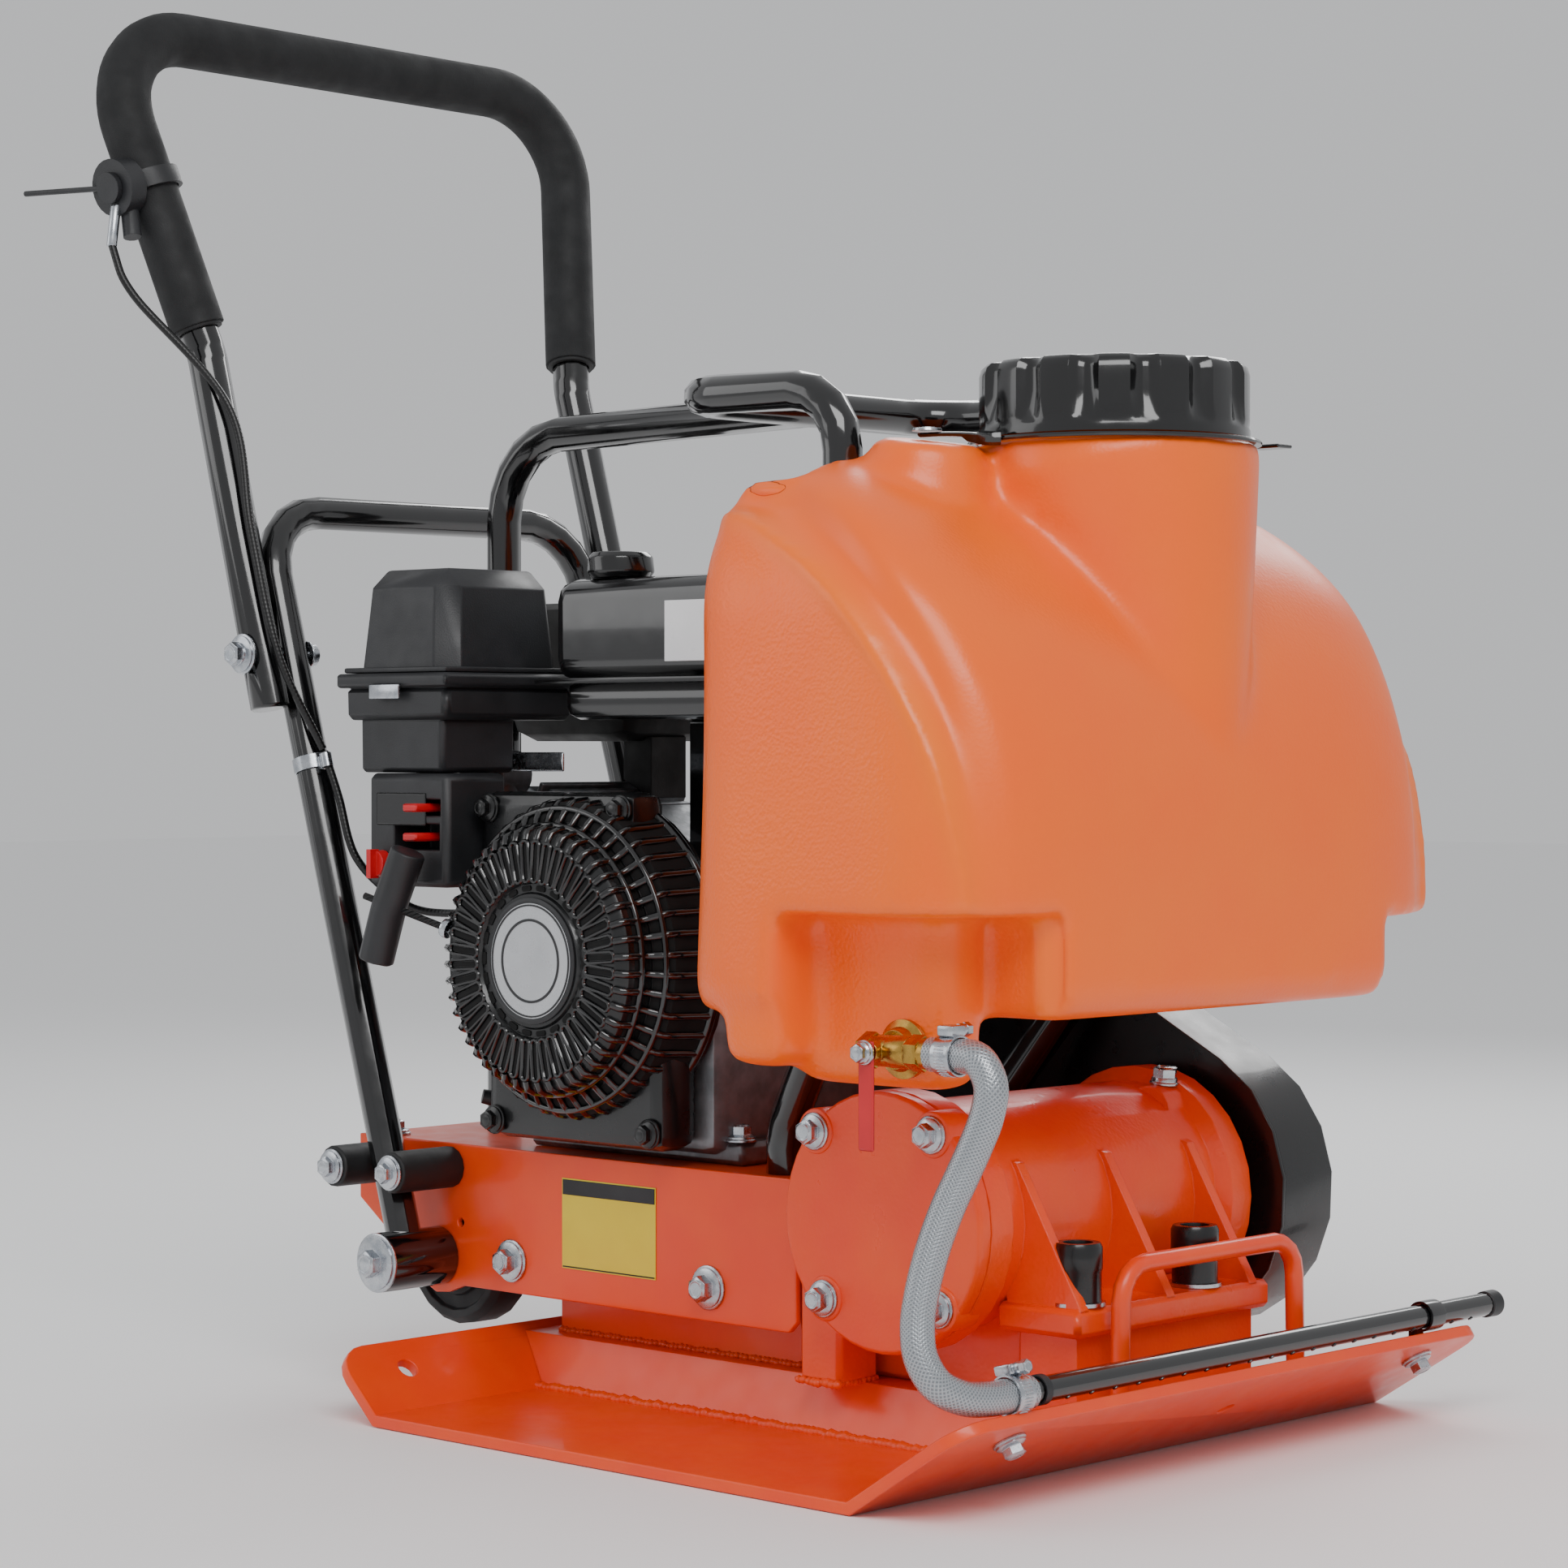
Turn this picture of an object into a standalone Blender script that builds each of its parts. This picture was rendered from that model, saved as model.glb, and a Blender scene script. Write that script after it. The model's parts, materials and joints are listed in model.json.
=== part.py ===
"""Walk-behind plate compactor: a sole plate shaken by a belt-driven exciter, with a
petrol engine on a rubber-mounted deck, a water tank and a two-part handle.

Metres, +Z up. +X is the way it travels, -Y is the side with the pull starter and
+Y the side with the belt. The origin is the middle of the plate's flat underside.
"""

import math

import bmesh
import bpy
from mathutils import Matrix, Vector

# ---------------------------------------------------------------- driving dimensions
GAP = 0.0003            # between pieces that touch
CLEAR = 0.0015          # round a piece that moves

PLATE_WIDTH = 0.480
PLATE_REAR = -0.210     # where the flat underside ends
PLATE_FRONT = 0.171
PLATE_THICK = 0.007
FRONT_LIP = (0.0800, 0.0515)    # run and rise of the outer face
REAR_LIP = (0.0400, 0.0370)
LIP_CORNER = 0.022

RISER_HALF_FOOT = 0.105
RISER_HALF_TOP = 0.090
RISER_TOP = 0.0375
RISER_FRONT = 0.150
UPRIGHT_FACE = 0.076    # outer face of the brackets that carry the rubber mounts
UPRIGHT_THICK = 0.006

DECK_HALF = 0.112       # to the outer face of a side flange
DECK_THICK = 0.0045
DECK_REAR = -0.372
DECK_FRONT = 0.013
DECK_TOP = 0.1530
DECK_BOTTOM = 0.0640

ISOLATOR_X = (-0.2275, -0.0570)
ISOLATOR_Z = 0.0840
ISOLATOR_RADIUS = 0.0215

AXLE_X = -0.2945        # shared by the handle pivots and the transport wheels
AXLE_Z = 0.0815
AXLE_RADIUS = 0.0060
WHEEL_RADIUS = 0.0450
WHEEL_WIDTH = 0.0300
WHEEL_Y = 0.0860
BUMPER_RADIUS = 0.0130
BUMPER_ROOM = 0.0029     # between a handle leg and the rubber either side of it

EXCITER_X = 0.0920
EXCITER_Z = 0.1360
EXCITER_HALF = 0.1180   # half the casting's length
EXCITER_RADIUS = 0.0660
COVER_THICK = 0.0095
SHAFT_RADIUS = 0.0150
BEARING_RADIUS = 0.0400
BEARING_WIDTH = 0.0200
EXCITER_PULLEY_RADIUS = 0.0500

CRANK_X = -0.1480
CRANK_Z = 0.2746
CRANK_RADIUS = 0.0110
CLUTCH_RADIUS = 0.0620
FLYWHEEL_RADIUS = 0.0740
BELT_Y = 0.1560
BELT_WIDTH = 0.0130
BELT_DEPTH = 0.0085

GUARD_Y = 0.1300        # inner face of the belt guard's back plate
GUARD_THICK = 0.0025
GUARD_DEPTH = 0.0500
GUARD_REACH = (0.0780, 0.0890)  # radius round the clutch and round the exciter pulley

RECOIL_RADIUS = 0.0785
RECOIL_FACE = -0.1690
FAN_RADIUS = 0.0930
FAN_FACE = -0.1480
BLOCK_FACE = -0.1030

FUEL_TANK = ((-0.207, -0.112, 0.418), (-0.035, 0.098, 0.504))
AIR_BOX = ((-0.339, -0.160, 0.418), (-0.235, -0.044, 0.512))
AIR_SEAM = 0.4470
PANEL = ((-0.3120, -0.1570, 0.3150), (-0.2375, -0.1050, 0.3850))
MUFFLER = ((-0.345, -0.012, 0.405), (-0.232, 0.096, 0.495))

TANK_REAR = 0.010
TANK_FRONT = 0.245
TANK_HALF = 0.232
TANK_BOTTOM = 0.256
TANK_TOP = 0.568
TANK_SHOULDER = 0.110   # how far the sides come in at the top
TANK_NOSE = 0.215       # how far the front leans back at the top
RECESS = (0.0680, 0.1650)       # depth in x and half width of the hollow at the tank's rear
NECK_X = 0.1560
NECK_RADIUS = 0.0800
NECK_TOP = 0.5740
CAP_RADIUS = 0.0770
CAP_HEIGHT = 0.0440
POD = ((0.0800, -0.1920, 0.2180), (0.1920, -0.1500, 0.3300))

FRAME_TUBE = 0.0115     # radius of the guard frame's tube
FRAME_HALF = 0.1150
FRAME_TOP = 0.6080
FRAME_CROSS_X = -0.0800
FRAME_LEG_X = 0.0520
SPINE_X = -0.3570

LOWER_TUBE = 0.0111     # radii of the handle's tubes
UPPER_TUBE = 0.0128
LEG_Y = 0.1380
FOLD = (-0.4090, 0.4605)        # x and z of the fold bolts
HOOP_TOP = 0.5550
GRIP_START = 0.6730
HANDLE_TOP = (-0.5220, 0.2090, 0.8700)
GRIP_RADIUS = 0.0185

PIPE = (0.2410, 0.0655)         # x and z of the sprinkler pipe
PIPE_RADIUS = 0.0070
PIPE_ENDS = (-0.1780, 0.2620)
HOSE_RADIUS = 0.0095
VALVE = (0.1680, -0.2090, 0.2410)

GOVERNOR = (-0.2180, -0.0862, 0.3920)   # the governor arm's pivot

SIDES = ((-1, "right"), (1, "left"))    # sign of y and the operator's name for it


# ---------------------------------------------------------------- finishes
def finish(name, colour, roughness, metallic=0.0):
    """A Principled material of one colour."""
    material = bpy.data.materials.new(name)
    material.use_nodes = True
    shader = material.node_tree.nodes["Principled BSDF"]
    shader.inputs["Base Color"].default_value = (*colour, 1.0)
    shader.inputs["Roughness"].default_value = roughness
    shader.inputs["Metallic"].default_value = metallic
    material.diffuse_color = (*colour, 1.0)
    return material


def make_finishes():
    """Every finish of the machine by name."""
    rows = {
        "orange_paint": ((0.80, 0.11, 0.015), 0.40, 0.0),
        "orange_tank": ((0.95, 0.22, 0.02), 0.42, 0.0),
        "black_paint": ((0.012, 0.012, 0.012), 0.20, 0.0),
        "black_plastic": ((0.022, 0.023, 0.024), 0.45, 0.0),
        "black_foam": ((0.014, 0.014, 0.015), 0.85, 0.0),
        "rubber": ((0.015, 0.015, 0.016), 0.75, 0.0),
        "zinc": ((0.62, 0.62, 0.60), 0.28, 1.0),
        "steel": ((0.50, 0.50, 0.50), 0.35, 1.0),
        "cast_aluminium": ((0.42, 0.43, 0.44), 0.50, 1.0),
        "brass": ((0.70, 0.48, 0.18), 0.30, 1.0),
        "red_plastic": ((0.62, 0.015, 0.012), 0.38, 0.0),
        "clear_hose": ((0.62, 0.64, 0.67), 0.25, 0.0),
    }
    return {name: finish(name, *row) for name, row in rows.items()}


# ---------------------------------------------------------------- shape tools
def to_object(name, mesh, material=None, parent=None, pivot=(0, 0, 0)):
    """An object of this mesh, with its origin moved to pivot; a helper if it has no material."""
    mesh.transform(Matrix.Translation(-Vector(pivot)))
    mesh.name = name
    obj = bpy.data.objects.new(name, mesh)
    bpy.context.scene.collection.objects.link(obj)
    obj.location = pivot
    if material is None:
        obj.hide_render = True
        obj.display_type = "WIRE"
    else:
        mesh.materials.append(material)
        mesh.shade_smooth()
        mesh.set_sharp_from_angle(angle=math.radians(35))
    if parent is not None:
        obj.parent = parent
        obj.location = Vector(pivot) - parent.location
    return obj


def to_mesh(bm):
    """A mesh of this bmesh, which is then freed."""
    bmesh.ops.recalc_face_normals(bm, faces=bm.faces)
    mesh = bpy.data.meshes.new("shape")
    bm.to_mesh(mesh)
    bm.free()
    return mesh


def box(low, high, round_by=0.0, segments=2):
    """A box between two corners, with all its edges rounded."""
    low, high = Vector(low), Vector(high)
    bm = bmesh.new()
    bmesh.ops.create_cube(bm, size=1.0)
    bmesh.ops.scale(bm, vec=high - low, verts=bm.verts)
    bmesh.ops.translate(bm, vec=(low + high) / 2, verts=bm.verts)
    if round_by:
        bmesh.ops.bevel(bm, geom=bm.edges[:], offset=round_by, segments=segments,
                        affect="EDGES", profile=0.5, material=-1)
    return to_mesh(bm)


def rod(start, end, radius, sides=20, end_radius=None):
    """A cylinder or a cone between two points."""
    start, end = Vector(start), Vector(end)
    bm = bmesh.new()
    bmesh.ops.create_cone(bm, cap_ends=True, segments=sides, radius1=radius,
                          radius2=radius if end_radius is None else end_radius,
                          depth=(end - start).length)
    turn = (end - start).to_track_quat("Z", "X").to_matrix().to_4x4()
    bmesh.ops.transform(bm, matrix=Matrix.Translation((start + end) / 2) @ turn, verts=bm.verts)
    return to_mesh(bm)


def turned(profile, place, sides=28, closed=False):
    """A shape turned about a line along Y at place (x, z). profile holds (radius, y) points;
    an open profile starts and ends on the axis, a closed one is a ring."""
    bm = bmesh.new()
    points = [bm.verts.new((radius, y, 0.0)) for radius, y in profile]
    edges = [bm.edges.new(pair) for pair in zip(points, points[1:])]
    if closed:
        edges.append(bm.edges.new((points[-1], points[0])))
    bmesh.ops.spin(bm, geom=points + edges, cent=(0, 0, 0), axis=(0, 1, 0),
                   angle=math.tau, steps=sides, use_merge=True)
    bmesh.ops.remove_doubles(bm, verts=bm.verts, dist=1e-6)
    bmesh.ops.translate(bm, vec=(place[0], 0.0, place[1]), verts=bm.verts)
    return to_mesh(bm)


def turned_up(profile, place, sides=28, closed=False):
    """The same about a line along Z at place (x, y, z). profile holds (radius, height) points."""
    mesh = turned(profile, (0.0, 0.0), sides, closed)
    mesh.transform(Matrix.Translation(place) @ Matrix.Rotation(math.pi / 2, 4, "X"))
    return mesh


def prism(outline, low, high, round_corners=0.0, corners=None):
    """An outline of (x, z) points drawn out along Y from low to high. corners lists the
    outline's points whose edges are rounded, or all of them."""
    bm = bmesh.new()
    face = bm.faces.new([bm.verts.new((x, low, z)) for x, z in outline])
    moved = bmesh.ops.extrude_face_region(bm, geom=[face])["geom"]
    verts = [item for item in moved if isinstance(item, bmesh.types.BMVert)]
    bmesh.ops.translate(bm, vec=(0, high - low, 0), verts=verts)
    if round_corners:
        wanted = [Vector(outline[i]) for i in (corners or range(len(outline)))]
        picked = [edge for edge in bm.edges
                  if abs(edge.verts[0].co.y - edge.verts[1].co.y) > 1e-6
                  and any((edge.verts[0].co.xz - point).length < 1e-6 for point in wanted)]
        bmesh.ops.bevel(bm, geom=picked, offset=round_corners, segments=4,
                        affect="EDGES", profile=0.5, material=-1)
    return to_mesh(bm)


def bent(points, radius, steps=5):
    """The points with each inner corner replaced by an arc of this radius."""
    points = [Vector(point) for point in points]
    path = [points[0]]
    for before, corner, after in zip(points, points[1:], points[2:]):
        into, out = (before - corner).normalized(), (after - corner).normalized()
        half = into.angle(out) / 2
        reach = min(radius / math.tan(half),
                    0.48 * (before - corner).length, 0.48 * (after - corner).length)
        centre = corner + (into + out).normalized() * reach / math.cos(half)
        first, last = corner + into * reach - centre, corner + out * reach - centre
        for step in range(steps + 1):
            path.append(centre + first.slerp(last, step / steps) * first.length)
    path.append(points[-1])
    return path


def smooth_path(points, count):
    """Points along one smooth curve through the given ones, at even spacing."""
    points = [Vector(point) for point in points]
    ends = [2 * points[0] - points[1], *points, 2 * points[-1] - points[-2]]
    fine = []
    for a, b, c, d in zip(ends, ends[1:], ends[2:], ends[3:]):
        for step in range(20):
            t = step / 20
            fine.append(0.5 * (2 * b + (c - a) * t + (2 * a - 5 * b + 4 * c - d) * t * t
                               + (3 * b - a - 3 * c + d) * t ** 3))
    fine.append(points[-1])
    along = [0.0]
    for a, b in zip(fine, fine[1:]):
        along.append(along[-1] + (b - a).length)
    even, index = [], 0
    for number in range(count):
        target = along[-1] * number / (count - 1)
        while index < len(along) - 2 and along[index + 1] < target:
            index += 1
        share = (target - along[index]) / (along[index + 1] - along[index])
        even.append(fine[index].lerp(fine[index + 1], share))
    return even


def curve_object(name, path, radius, material, resolution=3, parent=None):
    """A tube along the path, as a curve with a round bevel and filled caps."""
    curve = bpy.data.curves.new(name, "CURVE")
    curve.dimensions = "3D"
    curve.bevel_depth = radius
    curve.bevel_resolution = resolution
    curve.use_fill_caps = True
    spline = curve.splines.new("POLY")
    spline.points.add(len(path) - 1)
    pivot = Vector(parent.location) if parent else Vector((0, 0, 0))
    for point, place in zip(spline.points, path):
        point.co = (*(Vector(place) - pivot), 1.0)
    curve.materials.append(material)
    obj = bpy.data.objects.new(name, curve)
    bpy.context.scene.collection.objects.link(obj)
    obj.parent = parent
    return obj


def tube(path, radius, resolution=3):
    """The same tube as a mesh, for shapes that are cut or joined."""
    helper = curve_object("tube_path", path, radius, None, resolution)
    mesh = bpy.data.meshes.new_from_object(helper)
    bpy.data.objects.remove(helper)
    bm = bmesh.new()
    bm.from_mesh(mesh)
    bmesh.ops.remove_doubles(bm, verts=bm.verts, dist=1e-6)
    return to_mesh(bm)


def change(obj, operation, *meshes):
    """Cuts the meshes from the object, or joins them to it, with live Boolean modifiers."""
    for number, mesh in enumerate(meshes):
        tool = to_object(f"{obj.name}_{operation.lower()}_{number}", mesh)
        modifier = obj.modifiers.new(f"{operation.title()} {number}", "BOOLEAN")
        modifier.operation = operation
        modifier.solver = "EXACT"
        modifier.object = tool
    return obj


def cut(obj, *meshes):
    return change(obj, "DIFFERENCE", *meshes)


def join(obj, *meshes):
    return change(obj, "UNION", *meshes)


def ring_of(count, radius, start=0.0):
    """Offsets (a, b) evenly round a circle."""
    angles = [start + math.tau * number / count for number in range(count)]
    return [(radius * math.cos(angle), radius * math.sin(angle)) for angle in angles]


def pivot_empty(name, place):
    """An empty on a joint's axis, which the moving pieces hang from."""
    empty = bpy.data.objects.new(name, None)
    empty.empty_display_size = 0.03
    bpy.context.scene.collection.objects.link(empty)
    empty.location = place
    return empty


# ---------------------------------------------------------------- plate
def lip_frame(run, rise, foot_x, direction):
    """Along and normal (upward) unit vectors of a lip, in x and z."""
    along = Vector((direction * run, rise)).normalized()
    normal = Vector((-direction * along.y, abs(along.x)))
    return Vector((foot_x, 0.0)), along, normal


def plate_outline():
    """The bent plate's section, from the rear tip along the underside and back on top."""
    rear_foot, rear_along, rear_up = lip_frame(*REAR_LIP, PLATE_REAR, -1)
    front_foot, front_along, front_up = lip_frame(*FRONT_LIP, PLATE_FRONT, 1)
    rear_tip = rear_foot + rear_along * math.hypot(*REAR_LIP)
    front_tip = front_foot + front_along * math.hypot(*FRONT_LIP)
    rear_half = math.atan2(REAR_LIP[1], REAR_LIP[0]) / 2
    front_half = math.atan2(FRONT_LIP[1], FRONT_LIP[0]) / 2
    rear_inner = rear_foot + Vector((PLATE_THICK * math.tan(rear_half), PLATE_THICK))
    front_inner = front_foot + Vector((-PLATE_THICK * math.tan(front_half), PLATE_THICK))
    return [rear_tip, rear_foot, front_foot, front_tip, front_tip + front_up * PLATE_THICK,
            front_inner, rear_inner, rear_tip + rear_up * PLATE_THICK]


def lip_top(x):
    """Height of the front lip's upper face at x."""
    slope = FRONT_LIP[1] / FRONT_LIP[0]
    return slope * (x - PLATE_FRONT) + PLATE_THICK * math.hypot(1, slope)


def rear_lip_face(z):
    """x of the rear lip's upper face at a height."""
    slope = REAR_LIP[1] / REAR_LIP[0]
    return PLATE_REAR - (z - PLATE_THICK * math.hypot(1, slope)) / slope


def make_plate(looks):
    half = PLATE_WIDTH / 2
    outline = plate_outline()
    mesh = prism(outline, -half, half)
    bm = bmesh.new()
    bm.from_mesh(mesh)
    tips = [outline[0], outline[3], outline[4], outline[7]]
    corners = [edge for edge in bm.edges
               if abs(edge.verts[0].co.y - edge.verts[1].co.y) < 1e-6
               and all(any((vert.co.xz - tip).length < 1e-6 for tip in tips) for vert in edge.verts)]
    bmesh.ops.bevel(bm, geom=corners, offset=LIP_CORNER, segments=5,
                    affect="EDGES", profile=0.5, material=-1)
    plate = to_object("base_plate", to_mesh(bm), looks["orange_paint"])
    rear_foot, rear_along, rear_up = lip_frame(*REAR_LIP, PLATE_REAR, -1)
    front_foot, front_along, front_up = lip_frame(*FRONT_LIP, PLATE_FRONT, 1)
    rear_hole = rear_foot + rear_along * 0.033
    front_hole = front_foot + front_along * 0.050
    holes = []
    for sign, _ in SIDES:
        low, high = rear_hole - rear_up * 0.01, rear_hole + rear_up * 0.02
        holes.append(rod((low.x, sign * 0.195, low.y), (high.x, sign * 0.195, high.y), 0.0065, 16))
    slot_low, slot_high = front_hole - front_up * 0.01, front_hole + front_up * 0.02
    slot = rod((slot_low.x, 0.030, slot_low.y), (slot_high.x, 0.030, slot_high.y), 0.0055, 16)
    return cut(plate, *holes, slot)


def make_riser(looks):
    """The folded deck welded on the plate, with the brackets that carry the rubber mounts."""
    top, foot = RISER_TOP, PLATE_THICK + GAP
    bm = bmesh.new()
    bmesh.ops.create_cube(bm, size=1.0)
    rear_top, rear_foot = (rear_lip_face(z) + 2 * GAP for z in (top, foot))
    for vert in bm.verts:
        up, front, side = vert.co.z > 0, vert.co.x > 0, math.copysign(1, vert.co.y)
        half = RISER_HALF_TOP if up else RISER_HALF_FOOT
        x = RISER_FRONT if front else (rear_top if up else rear_foot)
        vert.co = (x, side * half, top if up else foot)
    riser = to_object("riser_frame", to_mesh(bm), looks["orange_paint"])
    hollow = box((PLATE_REAR + 0.030, -0.070, 0.0), (RISER_FRONT - 0.02, 0.070, top - 0.006))
    cut(riser, hollow)
    low = top - 0.003
    for sign, _ in SIDES:
        outer, inner = sign * UPRIGHT_FACE, sign * (UPRIGHT_FACE - UPRIGHT_THICK)
        y0, y1 = sorted((outer, inner))
        outline = [(-0.2460, 0.112), (-0.2460, 0.080), (-0.2210, 0.058), (-0.2210, low),
                   (-0.0160, low), (-0.0160, 0.060), (-0.0260, 0.112)]
        join(riser, prism(outline, y0, y1, 0.006, (0, 1, 6)))
    for sign, _ in SIDES:
        for x in ISOLATOR_X:
            cut(riser, rod((x, sign * 0.05, ISOLATOR_Z), (x, sign * 0.10, ISOLATOR_Z), 0.0052, 12))
    return riser


def make_isolators(looks):
    """Four rubber barrels between the deck's flanges and the riser's brackets, each with a stud."""
    start, end = UPRIGHT_FACE + GAP, DECK_HALF - DECK_THICK - GAP
    middle = (start + end) / 2
    for sign, side in SIDES:
        for x, place in zip(ISOLATOR_X, ("rear", "front")):
            profile = [(0.0, start - 0.012), (0.0045, start - 0.012), (0.0045, start),
                       (ISOLATOR_RADIUS * 0.92, start), (ISOLATOR_RADIUS, start + 0.003),
                       (ISOLATOR_RADIUS * 0.90, middle), (ISOLATOR_RADIUS, end - 0.003),
                       (ISOLATOR_RADIUS * 0.92, end), (0.0, end)]
            profile = [(radius, sign * y) for radius, y in profile]
            mesh = turned(profile, (x, ISOLATOR_Z), 14)
            to_object(f"isolator_{place}_{side}", mesh, looks["rubber"])


# ---------------------------------------------------------------- deck
def make_deck(looks):
    """A channel open downwards; its flanges carry the isolators, the axle and the bumpers."""
    deck = to_object("engine_deck", box((DECK_REAR, -DECK_HALF, DECK_TOP - DECK_THICK),
                                        (DECK_FRONT, DECK_HALF, DECK_TOP)), looks["orange_paint"])
    arc = [(AXLE_X + 0.024 * math.cos(angle), AXLE_Z + 0.024 * math.sin(angle))
           for angle in (math.radians(value) for value in (-160, -130, -100, -70))]
    outline = [(DECK_REAR, DECK_TOP - 0.001), (DECK_REAR, 0.112), *arc, (AXLE_X + 0.022, DECK_BOTTOM),
               (DECK_FRONT - 0.006, DECK_BOTTOM), (DECK_FRONT, DECK_BOTTOM + 0.006),
               (DECK_FRONT, DECK_TOP - 0.001)]
    for sign, _ in SIDES:
        y0, y1 = sorted((sign * DECK_HALF, sign * (DECK_HALF - DECK_THICK)))
        join(deck, prism(outline, y0, y1))
    cut(deck, rod((AXLE_X, -0.2, AXLE_Z), (AXLE_X, 0.2, AXLE_Z), AXLE_RADIUS + 0.0004, 16))
    hole = 0.0028
    for sign, _ in SIDES:
        cut(deck, rod((-0.2750, sign * 0.09, 0.1035), (-0.2750, sign * 0.13, 0.1035), hole, 10))
    return deck


def make_axle_and_wheels(looks):
    half = LEG_Y + 0.0255
    to_object("pivot_axle", turned([(0.0, -half), (AXLE_RADIUS, -half), (AXLE_RADIUS, half), (0.0, half)],
                                   (AXLE_X, AXLE_Z), 16), looks["zinc"])
    for sign, side in SIDES:
        inner, outer = WHEEL_Y - WHEEL_WIDTH / 2, WHEEL_Y + WHEEL_WIDTH / 2
        bore = AXLE_RADIUS + 0.0004
        tread, hub = WHEEL_RADIUS, 0.026
        profile = [(bore, inner), (hub, inner), (hub + 0.001, inner + 0.004),
                   (tread - 0.010, inner + 0.004),
                   (tread - 0.009, inner), (tread - 0.004, inner), (tread, inner + 0.005),
                   (tread, outer - 0.005), (tread - 0.004, outer), (tread - 0.009, outer),
                   (tread - 0.010, outer - 0.004), (hub + 0.001, outer - 0.004),
                   (hub, outer), (bore, outer)]
        mesh = turned([(radius, sign * y) for radius, y in profile], (AXLE_X, AXLE_Z), 20, closed=True)
        to_object(f"transport_wheel_{side}", mesh, looks["rubber"], None, (AXLE_X, sign * WHEEL_Y, AXLE_Z))


def make_bumpers(looks):
    """Rubber stops either side of each handle leg, bolted to the deck's flanges."""
    lean = (FOLD[0] - AXLE_X) / (FOLD[1] - AXLE_Z)
    height = 0.138
    leg_x = AXLE_X + lean * (height - AXLE_Z)
    reach = LOWER_TUBE * 1.045 + BUMPER_ROOM + BUMPER_RADIUS
    for sign, side in SIDES:
        for step, place in ((-1, "rear"), (1, "front")):
            start, end = DECK_HALF + GAP, DECK_HALF + 0.050
            profile = [(0.0, start), (BUMPER_RADIUS, start), (BUMPER_RADIUS, end - 0.001),
                       (BUMPER_RADIUS - 0.001, end),
                       (0.0085, end), (0.0085, end + 0.0015), (0.0050, end + 0.0015),
                       (0.0050, end + 0.007), (0.0, end + 0.007)]
            mesh = turned([(radius, sign * y) for radius, y in profile],
                          (leg_x + step * reach, height), 14)
            to_object(f"bumper_{place}_{side}", mesh, looks["rubber"])


# ---------------------------------------------------------------- exciter
def make_exciter_housing(looks):
    """The cast housing: a barrel with a flange at each end, two feet and three ribs."""
    place = (EXCITER_X, EXCITER_Z)
    half, radius = EXCITER_HALF, EXCITER_RADIUS
    seat = BEARING_RADIUS
    bore = SHAFT_RADIUS + 0.025
    open_end, far = -half, half
    profile = [(seat, open_end), (radius + 0.008, open_end), (radius + 0.008, open_end + 0.018),
               (radius, open_end + 0.024), (radius, far - 0.024), (radius + 0.008, far - 0.018),
               (radius + 0.008, far), (SHAFT_RADIUS + CLEAR, far), (SHAFT_RADIUS + CLEAR, far - 0.010),
               (seat, far - 0.010), (seat, far - 0.010 - BEARING_WIDTH - 2 * GAP),
               (bore - 0.004, far - 0.012 - BEARING_WIDTH - 2 * GAP),
               (bore + 0.013, far - 0.030 - BEARING_WIDTH),
               (bore + 0.013, open_end + 0.030 + BEARING_WIDTH),
               (bore - 0.004, open_end + 0.004 + BEARING_WIDTH + 2 * GAP),
               (seat, open_end + 0.002 + BEARING_WIDTH + 2 * GAP)]
    housing = to_object("exciter_housing", turned(profile, place, 28, closed=True), looks["orange_paint"])
    ground = RISER_TOP + GAP
    flange_low, flange_top, front = 0.0770, 0.0930, 0.1990
    floor = PLATE_THICK + 2 * GAP
    bend = PLATE_FRONT - 0.004
    step = [(RISER_FRONT + GAP, floor), (bend, floor), (front - 0.008, lip_top(front - 0.008) + 2 * GAP),
            (front - 0.008, flange_low + 0.001), (RISER_FRONT + GAP, flange_low + 0.001)]
    feet = [box((0.1400, -0.0850, flange_low), (front, 0.0920, flange_top), 0.003, 1),
            prism(step, -0.0760, 0.0840),
            box((0.0150, -0.1120, ground), (0.0470, -0.0780, 0.1050), 0.003, 1),
            box((0.0150, 0.0780, ground), (0.0470, 0.1120, 0.1050), 0.003, 1),
            box((0.0300, -0.0700, ground), (0.1480, 0.0700, 0.0900), 0.003, 1)]
    join(housing, *feet)
    thick = 0.0035
    for y in (-0.0775, 0.0, 0.0770):
        outline = [(EXCITER_X + 0.044, 0.175), (EXCITER_X + 0.060, 0.170),
                   (front - 0.001, flange_top - 0.001), (0.1450, flange_top - 0.001),
                   (EXCITER_X + 0.050, 0.120)]
        join(housing, prism(outline, y - thick, y + thick))
    join(housing, rod((0.118, 0.080, 0.185), (0.118, 0.112, 0.185), 0.016, 16))
    cut(housing, turned([(0.0, open_end - 0.01), (seat, open_end - 0.01),
                         (seat, open_end + 0.002 + BEARING_WIDTH + 2 * GAP),
                         (bore - 0.004, open_end + 0.004 + BEARING_WIDTH + 2 * GAP),
                         (bore + 0.013, open_end + 0.030 + BEARING_WIDTH),
                         (bore + 0.013, far - 0.030 - BEARING_WIDTH),
                         (bore - 0.004, far - 0.012 - BEARING_WIDTH - 2 * GAP),
                         (seat, far - 0.010 - BEARING_WIDTH - 2 * GAP),
                         (seat, far - 0.010), (0.0, far - 0.010)], place, 28))
    return housing


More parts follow.
